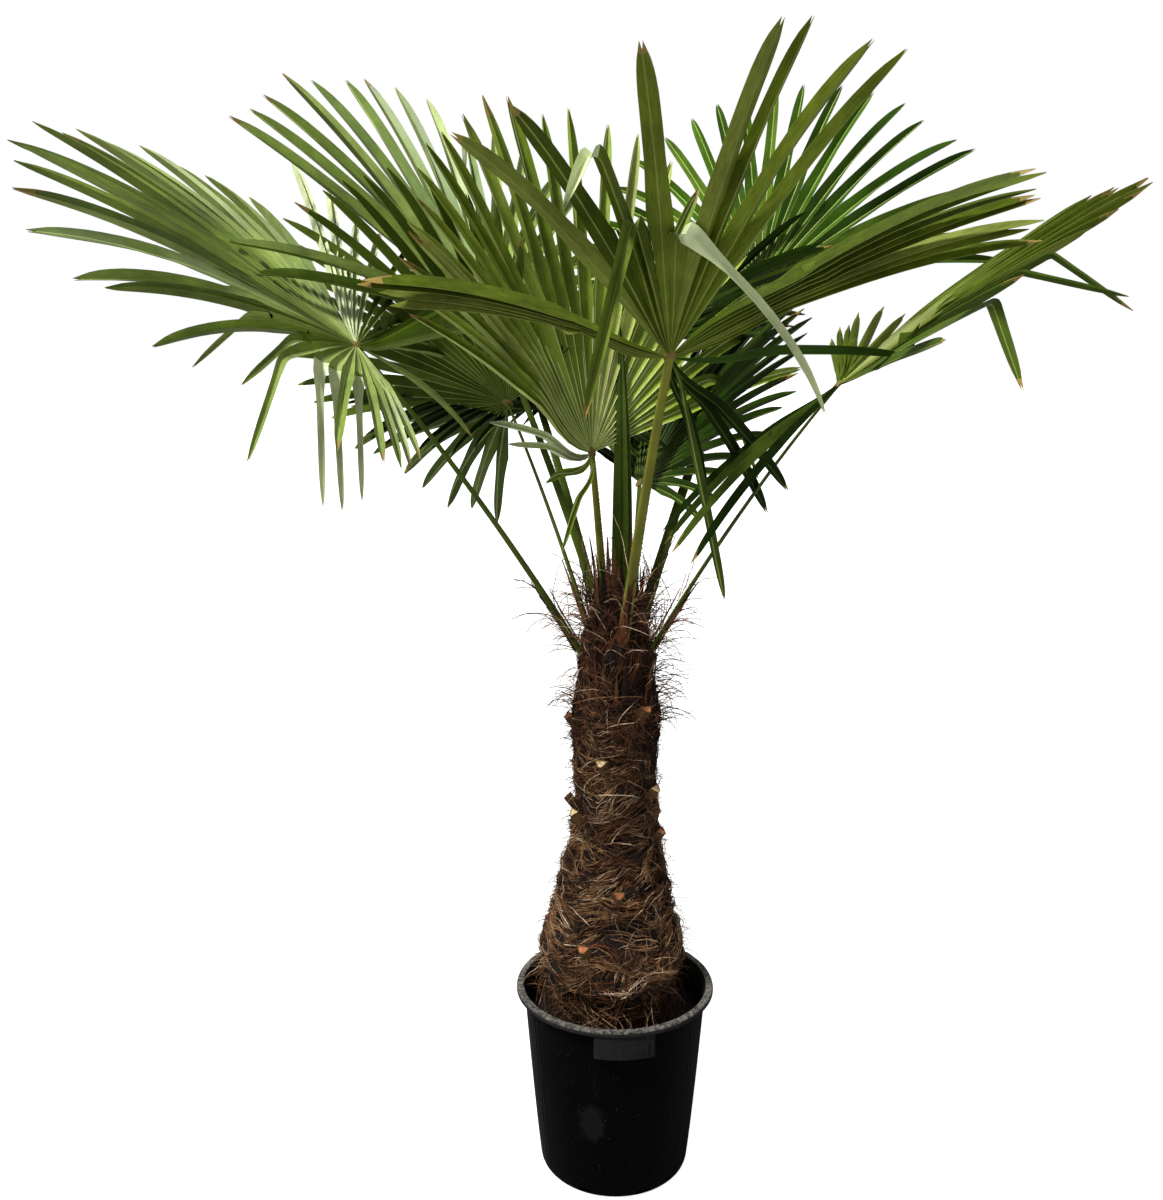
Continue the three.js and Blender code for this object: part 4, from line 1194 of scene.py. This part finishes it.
def add_tongue(builder, foot, ahead, outward, width, tall, slot):
    """A pointed tongue of fibre sheath with a ragged end, cupped round what it covers."""
    around = ahead.cross(outward).normalized()
    rings = []
    for step in range(TONGUE_STEPS + 1):
        share = step / TONGUE_STEPS
        half = width / 2 * (1 - share**1.5) + TONGUE_TIP
        front = []
        for side in (-1, -0.5, 0, 0.5, 1):
            cup = outward * (1 - side * side) * half * 0.35
            flare = outward * 5 * share * share
            ragged = ahead * 6 * noise.noise(Vector((side * 3, tall, width))) * share
            point = foot + (ahead * tall * share + around * side * half + cup + flare + ragged) * MM
            front.append(point)
        rings.append(front + [point - outward * TONGUE_THICKNESS for point in reversed(front)])
    rows = skin(builder, rings, slot, caps=False)
    for row, order in ((rows[0], -1), (rows[-1], 1)):
        for k in range(4):
            builder.face([row[k], row[k + 1], row[8 - k], row[9 - k]][::order], slot)


GOLDEN_TURN = 2.39996
# Rows of sheath tongues round the trunk's head: how many, the heights that they start from, how
# far they lean out, how far those at the top close in, their widths, lengths and colours.
SHEATHS = [
    dict(count=70, foot=975, step=37, over=165, lean=(-0.15, 0.1), closing=0.75, wide=(5, 12),
         tall=(40, 95), deal=(4, 2, 0, 0, 4)),
    dict(count=22, foot=1150, step=17, over=44, lean=(-0.25, 0.12), closing=0, wide=(9, 18),
         tall=(50, 130), deal=(5, 3, 0, 0, 4)),
]
TONGUES_ON_STALK, HAIRS_ON_STALK, STALK_COVER = 5, 40, 7 * MM


def make_sheaths(materials):
    """Fibre sheaths: round the trunk's head, and up each stalk's foot with curling hairs."""
    rng = random.Random(17)
    builder = Builder()
    for row in SHEATHS:
        for k in range(row["count"]):
            angle, height = k * GOLDEN_TURN, row["foot"] + (k * row["step"]) % row["over"]
            outward = level(angle)
            inward = row["closing"] * smooth(1030, 1110, height)
            ahead = (UP + outward * (rng.uniform(*row["lean"]) - inward)).normalized()
            add_tongue(
                builder, trunk_surface(angle, height, -1), ahead, outward,
                rng.uniform(*row["wide"]), rng.uniform(*row["tall"]), deal(rng, row["deal"]),
            )
    for frond in FRONDS.values():
        for k in range(TONGUES_ON_STALK):
            point, ahead = petiole_path(frond, 0.01 + 0.02 * k)
            turn = rng.uniform(-0.7, 0.7) + (math.pi if k == 1 else 0)
            outward = square_to(ahead, Vector((point.x, point.y, 0)).normalized())
            outward = Matrix.Rotation(turn, 3, ahead) @ outward
            wide, tall = ((16, 24), (90, 140)) if k == 0 else ((8, 15), (60, 140))
            add_tongue(builder, point + outward * STALK_COVER, ahead, outward,
                       rng.uniform(*wide), rng.uniform(*tall), deal(rng, (3, 4, 0, 0, 4)))
        for _ in range(HAIRS_ON_STALK):
            share = rng.uniform(0.01, 0.26) * rng.uniform(0.2, 1)
            point, ahead = petiole_path(frond, share)
            around = Vector((rng.gauss(0, 1), rng.gauss(0, 1), rng.gauss(0, 0.4)))
            around = square_to(ahead, around)
            heading = (ahead + around * rng.uniform(0.05, 0.8)).normalized()
            pull = around * rng.uniform(0.02, 0.3) - UP * rng.uniform(0, 0.3)
            foot = point + around * STALK_COVER
            points = trail(rng, foot, heading, pull, rng.uniform(30, 150), 7)
            add_strand(builder, points, rng.uniform(0.5, 1.3), deal(rng, (6, 4, 2, 1, 4)))
    dress(builder.object("fibre_sheaths", materials, sharp=50), "trunk_fibre")


def stub_outline(slim):
    """A stub's section: a broad inner side and a keel outside, with rounded corners."""
    keel, width, thick = (size / 2 * slim for size in (STUB_KEEL, STUB_WIDTH, STUB_THICKNESS))
    corners = [Vector(xy) for xy in ((-keel, -thick), (keel, -thick), (width, thick),
                                     (-width, thick))]
    points = []
    for k, corner in enumerate(corners):
        before, after = corners[k - 1], corners[(k + 1) % 4]
        points += [corner.lerp(before, 0.12), corner.lerp(before.lerp(after, 0.5), 0.06),
                   corner.lerp(after, 0.12)]
    return points


STUB_RINGS, CUT_DIP, CUT_RIM = 6, 0.8, 0.8


def make_stub(index, turn, height, materials):
    """A cut leaf base: brown sides, a rim, and a cut face that has sunk a little within it."""
    rng = random.Random(index)
    place = (
        Matrix.Translation(Vector((trunk_middle(height), 0, height)) * MM)
        @ Matrix.Rotation(math.radians(turn), 4, "Z")
        @ Matrix.Translation(Vector((0, -trunk_radius(height), 0)) * MM)
        @ Matrix.Rotation(math.radians(STUB_TILT), 4, "X")
    )
    builder = Builder()
    rings = []
    for k in range(STUB_RINGS):
        share = k / (STUB_RINGS - 1)
        along = -STUB_SUNK + STUB_LENGTH * share
        slant = rng.uniform(-0.12, 0.12) * share
        rings.append([
            place @ (Vector((
                xy.x + rng.gauss(0, 0.25), xy.y + rng.gauss(0, 0.25), along + xy.x * slant
            )) * MM)
            for xy in stub_outline(1 - 0.14 * share)
        ])
    rows = skin(builder, rings, caps=False)
    builder.face(rows[0][::-1])
    rim = rows[-1]
    centre = sum(rings[-1], Vector()) / len(rim)
    dip = (place.to_3x3() @ Vector((0, 0, -CUT_DIP))) * MM
    inner = builder.row([centre.lerp(point, CUT_RIM) + dip for point in rings[-1]])
    for s in range(len(rim)):
        after = (s + 1) % len(rim)
        builder.face([rim[s], rim[after], inner[after], inner[s]], 1)
    builder.face(inner, 2)
    node = f"stub_{index + 1:02d}"
    dress(builder.object("cut_" + node, materials, sharp=40), "cut_stub", node)


# ---- Pot and soil ---------------------------------------------------------------------------


def pot_radius(height):
    share = max(0, height) / (POT_HEIGHT - POT_RIM_DEPTH)
    return POT_FOOT_RADIUS + (POT_SHOULDER_RADIUS - POT_FOOT_RADIUS) * share**0.85


def pot_profile():
    """The pot's section from the middle of its underside, up outside and down inside."""
    shoulder = POT_HEIGHT - POT_RIM_DEPTH
    points = [(0, 0), (POT_FOOT_RADIUS - POT_FOOT_ROUND, 0)]
    for k in range(1, 6):
        angle = k / 6 * math.pi / 2
        points.append((
            POT_FOOT_RADIUS - POT_FOOT_ROUND * (1 - math.sin(angle)) + 1.4 * math.sin(angle),
            POT_FOOT_ROUND * (1 - math.cos(angle)),
        ))
    heights = [14, 30, 60, 100, 140, 180, 220, 260, 300, 330, 344, shoulder - 1]
    points += [(pot_radius(height), height) for height in heights]
    rim = POT_RIM_RADIUS
    points += [
        (POT_SHOULDER_RADIUS + 1, shoulder - 0.5), (rim - 6, shoulder + 1),
        (rim - 1.6, shoulder + 2.4), (rim, shoulder + 4.4), (rim, POT_HEIGHT - 6),
        (rim - 0.8, POT_HEIGHT - 5), (rim - 0.6, POT_HEIGHT - 3.4), (rim - 1.8, POT_HEIGHT - 0.8),
        (rim - 3.6, POT_HEIGHT), (POT_MOUTH_RADIUS + 1.5, POT_HEIGHT),
        (POT_MOUTH_RADIUS, POT_HEIGHT - 1.4), (POT_MOUTH_RADIUS - 2.4, POT_HEIGHT - 6),
        (POT_SHOULDER_RADIUS - 3.4, shoulder),
    ]
    points += [(pot_radius(height) - POT_WALL, height) for height in reversed(heights)]
    points += [(POT_FOOT_RADIUS - POT_FOOT_ROUND, POT_FLOOR), (0, POT_FLOOR)]
    return points


def add_lathe(builder, profile, sides, slot_of):
    """Turns a section round the axis; where it meets the axis all sides share one point."""
    rows = []
    for radius, height in profile:
        if radius == 0:
            rows.append(builder.row([about_axis(0, 0, height)]) * sides)
            continue
        rows.append(builder.row([about_axis(a, radius, height) for a in full_turn(sides)]))
    for k, (low, high) in enumerate(zip(rows, rows[1:])):
        for s in range(sides):
            after = (s + 1) % sides
            corners = dict.fromkeys([low[s], low[after], high[after], high[s]])
            builder.face(list(corners), slot_of(k))


def add_rib(builder, angle, stations, foot, crest):
    """An upright rib on a wall with a radius and height at each station: foot and crest are
    each half its angle and how far off the wall it lies."""
    (foot_half, foot_off), (crest_half, crest_off) = foot, crest
    section = [(-foot_half, foot_off), (foot_half, foot_off), (crest_half, crest_off),
               (-crest_half, crest_off)]
    skin(builder, [
        [about_axis(angle + aside, radius + off, height) for aside, off in section]
        for radius, height in stations
    ])


DRAIN_CUT, DRAIN_INSET = 24, 6
LUG_COLUMNS, LUG_RIBS = 24, (0.66, 0.82)
RIB_FOOT, RIB_RADIUS = 16, 180


def make_pot(materials):
    """The shell with its drainage slots, the lugs under the lip, and the ribs on the wall."""
    profile = pot_profile()
    shoulder = POT_HEIGHT - POT_RIM_DEPTH
    builder = Builder()
    mouth = profile.index((POT_MOUTH_RADIUS, POT_HEIGHT - 1.4))

    # Slot 1 is the rim's up-facing ring, lighter partly as dust and partly as painted sky sheen;
    # slot 3 is the band under it, in the lugs' grey.
    def slot_of(k):
        foot = min(profile[k][1], profile[k + 1][1])
        return 2 if k >= mouth else 1 if foot >= POT_HEIGHT - 4 else 3 if foot >= shoulder else 0

    add_lathe(builder, profile, 192, slot_of)
    pot = builder.object("pot_shell", materials, sharp=38)
    for hole in range(DRAIN_COUNT):
        turn = (hole + 0.5) / DRAIN_COUNT * 2 * math.pi
        bpy.ops.mesh.primitive_cube_add(size=1)
        slot = bpy.context.object
        slot.scale = (DRAIN_WIDTH * MM, DRAIN_CUT * MM, DRAIN_HEIGHT * MM)
        slot.rotation_euler = (0, 0, turn)
        reach = (POT_FOOT_RADIUS - DRAIN_INSET) * MM
        slot.location = (
            -math.sin(turn) * reach, math.cos(turn) * reach,
            (POT_FLOOR + DRAIN_HEIGHT / 2 + 1) * MM,
        )
        cut = pot.modifiers.new("drain", "BOOLEAN")
        cut.operation, cut.solver, cut.object = "DIFFERENCE", "EXACT", slot
        bpy.context.view_layer.objects.active = pot
        bpy.ops.object.modifier_apply(modifier=cut.name)
        bpy.data.objects.remove(slot)
    dress(pot, "pot_plastic", "pot")

    for index, turn in enumerate(LUG_TURNS):
        builder = Builder()
        middle = math.radians(turn - 90)
        half = math.radians(LUG_HALF_ANGLE)
        low, high = shoulder - LUG_DROP + 2, shoulder + 1
        rows = []
        for c in range(LUG_COLUMNS + 1):
            share = c / LUG_COLUMNS * 2 - 1
            ease = min(1, (1 - abs(share)) / 0.1)
            face = pot_radius(low) - 2 + (LUG_OUTER - pot_radius(low) + 2) * ease**0.5
            section = [(LUG_INNER, low + 3), (face - 3, low), (face - 0.8, low + 1),
                       (face, low + 4), (face, high - 6), (face, high), (LUG_INNER, high)]
            rows.append([about_axis(middle + half * share, *at) for at in reversed(section)])
        skin(builder, rows)
        for share in LUG_RIBS:
            add_rib(builder, middle + half * share,
                    [(LUG_OUTER, height) for height in (low + 9, high - 9)],
                    (2 / LUG_OUTER, -1), (1.2 / LUG_OUTER, 1.8))
        dress(builder.object(f"pot_lug_{index}", [materials[3]], sharp=40), "pot_plastic")

    builder = Builder()
    heights = [RIB_FOOT + (shoulder - RIB_FOOT - 2) * k / 18 for k in range(19)]
    for turn in RIB_TURNS:
        add_rib(builder, math.radians(turn - 90), [(pot_radius(h), h) for h in heights],
                (1.7 / RIB_RADIUS, -1.5), (0.8 / RIB_RADIUS, 1.1))
    dress(builder.object("pot_ribs", [materials[3]], sharp=40), "pot_plastic")


def soil_height(angle, radius):
    """How high the soil lies, uneven and a little lower by the wall."""
    x, y = math.cos(angle) * radius, math.sin(angle) * radius
    edge = pot_radius(SOIL_EDGE) - POT_WALL
    rise = between([(0, 0), (edge * 0.7, 0), (edge * 0.86, -5), (edge, -12)], radius)
    bumps = 5 * noise.noise(Vector((x / 26, y / 26, 3)))
    bumps += 2.4 * noise.noise(Vector((x / 9, y / 9, 7)))
    return SOIL_CROWN + rise + bumps * smooth(edge, edge - 30, radius) - 1


SOIL_SIDES, SOIL_RINGS, SOIL_INNER, SOIL_FOOT, SOIL_CLEARANCE = 144, 34, 70, 250, 0.3
CRUMBS, CRUMB_SIZES = 900, (1.2, 4.2)
CRUMB_CORNERS = [(1, 0, 0), (-1, 0, 0), (0, 1, 0), (0, -1, 0), (0, 0, 1), (0, 0, -1)]
CRUMB_FACES = [(0, 2, 4), (2, 1, 4), (1, 3, 4), (3, 0, 4), (2, 0, 5), (1, 2, 5), (3, 1, 5),
               (0, 3, 5)]


def make_soil(material):
    """The bed, closed below and open in the middle for the trunk, and the crumbs on it."""
    rng = random.Random(8)
    builder = Builder()
    edge = pot_radius(SOIL_EDGE) - POT_WALL - SOIL_CLEARANCE
    radii = [SOIL_INNER + (edge - SOIL_INNER) * k / SOIL_RINGS for k in range(SOIL_RINGS + 1)]
    foot = pot_radius(SOIL_FOOT) - POT_WALL - 1
    rows = [
        [about_axis(angle, radius, soil_height(angle, radius)) for angle in full_turn(SOIL_SIDES)]
        for radius in radii
    ]
    rows += [
        [about_axis(angle, radius, SOIL_FOOT) for angle in full_turn(SOIL_SIDES)]
        for radius in (foot, SOIL_INNER)
    ]
    skin(builder, rows[::-1], caps=False, joined=True)
    dress(builder.object("soil_bed", [material]), "soil", "soil")

    builder = Builder()
    for _ in range(CRUMBS):
        angle, radius = rng.uniform(0, 2 * math.pi), rng.uniform(96, edge - 4)
        size = rng.uniform(*CRUMB_SIZES)
        centre = about_axis(angle, radius, soil_height(angle, radius) + size * 0.3)
        turn = Matrix.Rotation(rng.uniform(0, 6.28), 3, Vector((
            rng.uniform(-1, 1), rng.uniform(-1, 1), rng.uniform(-1, 1)
        )).normalized())
        row = builder.row([
            centre + turn @ Vector(corner) * size * rng.uniform(0.6, 1.1) * MM
            for corner in CRUMB_CORNERS
        ])
        for corners in CRUMB_FACES:
            builder.face([row[k] for k in corners])
    dress(builder.object("soil_crumbs", [material], sharp=20), "soil")


# ---- The scene ------------------------------------------------------------------------------


SKY = 0.44  # how bright the sky is as light; to the eye it is plain white
FLOOR_SIZE, FLOOR_GLOW = 600, 0.9  # the glow is what the floor adds of its own, to the eye only
CAMERA_PLACE, CAMERA_TILT, CAMERA_PAN = (0, -2.26, 1.62), 11, 1.72
SENSOR = LENS = 36


def make_stage():
    shader = Shader("floor_pale", 0.9, 0.05)
    soft = shader.noise(shader.place(), 2, 2)
    shader.color(shader.ramp(soft, (0.3, grey(0.34)), (0.7, grey(0.37))))
    shader.bsdf.inputs["Emission Color"].default_value = grey(1)
    seen = shader.node("ShaderNodeLightPath").outputs["Is Camera Ray"]
    glow = shader.node("ShaderNodeMapRange", Value=seen, To_Min=0.0, To_Max=FLOOR_GLOW)
    shader.links.new(glow.outputs["Result"], shader.bsdf.inputs["Emission Strength"])
    bpy.ops.mesh.primitive_plane_add(size=FLOOR_SIZE, location=(0, 0, 0))
    floor = bpy.context.object
    floor.name = "floor"
    floor.data.materials.append(shader.material)

    world = bpy.data.worlds.new("studio")
    world.use_nodes = True
    nodes, links = world.node_tree.nodes, world.node_tree.links
    background = nodes["Background"]
    background.inputs["Color"].default_value = grey(1)
    seen = nodes.new("ShaderNodeLightPath")
    strength = nodes.new("ShaderNodeMapRange")
    strength.inputs["To Min"].default_value = SKY
    strength.inputs["To Max"].default_value = 1
    links.new(seen.outputs["Is Camera Ray"], strength.inputs["Value"])
    links.new(strength.outputs["Result"], background.inputs["Strength"])
    bpy.context.scene.world = world

    def sun(name, towards, energy, angle):
        light = bpy.data.lights.new(name, "SUN")
        light.energy, light.angle = energy, math.radians(angle)
        holder = bpy.data.objects.new(name, light)
        holder.rotation_euler = Vector(towards).to_track_quat("-Z", "Y").to_euler()
        bpy.context.scene.collection.objects.link(holder)

    sun("key", (0.5, 0.42, -1), 5.3, 9)
    sun("back", (-0.25, -0.6, -1), 0.6, 50)


def make_camera():
    camera = bpy.data.cameras.new("camera")
    camera.sensor_fit = "VERTICAL"
    camera.sensor_height, camera.lens = SENSOR, LENS
    holder = bpy.data.objects.new("camera", camera)
    holder.location = CAMERA_PLACE
    holder.rotation_euler = (math.radians(90 - CAMERA_TILT), 0, math.radians(CAMERA_PAN))
    bpy.context.scene.collection.objects.link(holder)
    bpy.context.scene.camera = holder


FIBRE_COLORS = {
    "fibre_dark": (30, 19, 13), "fibre_brown": (96, 66, 41), "fibre_tan": (154, 118, 80),
    "fibre_pale": (206, 180, 148), "fibre_red": (102, 58, 34),
}
STUB_COLORS = {
    "stub_side": (92, 68, 40), "stub_rim": (134, 106, 70), "stub_face": (214, 190, 146),
    "stub_old": (158, 100, 62),
}
OLIVE_STALKS = ("front", "middle")


def make_plant():
    leaves = leaf_materials()
    fibres = [fibre_material(name, color) for name, color in FIBRE_COLORS.items()]
    core = fibre_material("fibre_core", (24, 15, 10), (1, 1, 3.5))
    deep_stalk = leaf_material("stalk_deep", (62, 76, 20), 0.45, 0.4, 0.1)
    olive_stalk = leaf_material("stalk_olive", (112, 114, 40), 0.45, 0.4, 0.12)
    hastula = leaf_material("hastula_tan", (104, 88, 38), 0.6, 0.3)
    stub_side, stub_rim, stub_face, stub_old = (
        fibre_material(name, color) for name, color in STUB_COLORS.items()
    )

    trees = []
    rng = random.Random(21)
    for name, frond in FRONDS.items():
        axes = Axes(frond)
        present = make_frond(name, frond, axes, trees, leaves, rng)
        trees.append(fan_tree(frond, axes, present))
        make_petiole(name, frond, axes, olive_stalk if name in OLIVE_STALKS else deep_stalk)
        make_hastula(name, frond, axes, hastula)
    make_spear(leaf_material("spear_green", (54, 70, 22), 0.5, 0.9, 0.05))

    make_trunk(core)
    make_fibres(fibres)
    make_sheaths(fibres)
    for index, (turn, height) in enumerate(STUBS):
        cut = [stub_rim, stub_face] if index in FRESH_STUBS else [stub_side, stub_old]
        make_stub(index, turn, height, [stub_side, *cut])
    make_pot([
        plastic_material("pot_black", (3, 3, 3), (40, 33, 28), 0.43, scuffed=True),
        # The rim ring's grey: partly dust, partly painted sky sheen on the faces that look up.
        plastic_material("pot_rim_dust_and_sheen", (38, 36, 34), (112, 109, 101), 0.38, 150, mottled=True),
        plastic_material("pot_inside", (24, 23, 19), (60, 56, 44), 0.3),
        # The lugs', band's and ribs' grey, lighter than the body: partly dust, partly painted
        # sheen.
        plastic_material("pot_lug_dust_and_sheen", (27, 27, 27), (60, 58, 54), 0.36),
    ])
    make_soil(fibre_material("soil_dark", (20, 14, 11)))


bpy.context.scene.view_settings.view_transform = "Standard"
make_camera()
make_stage()
make_plant()
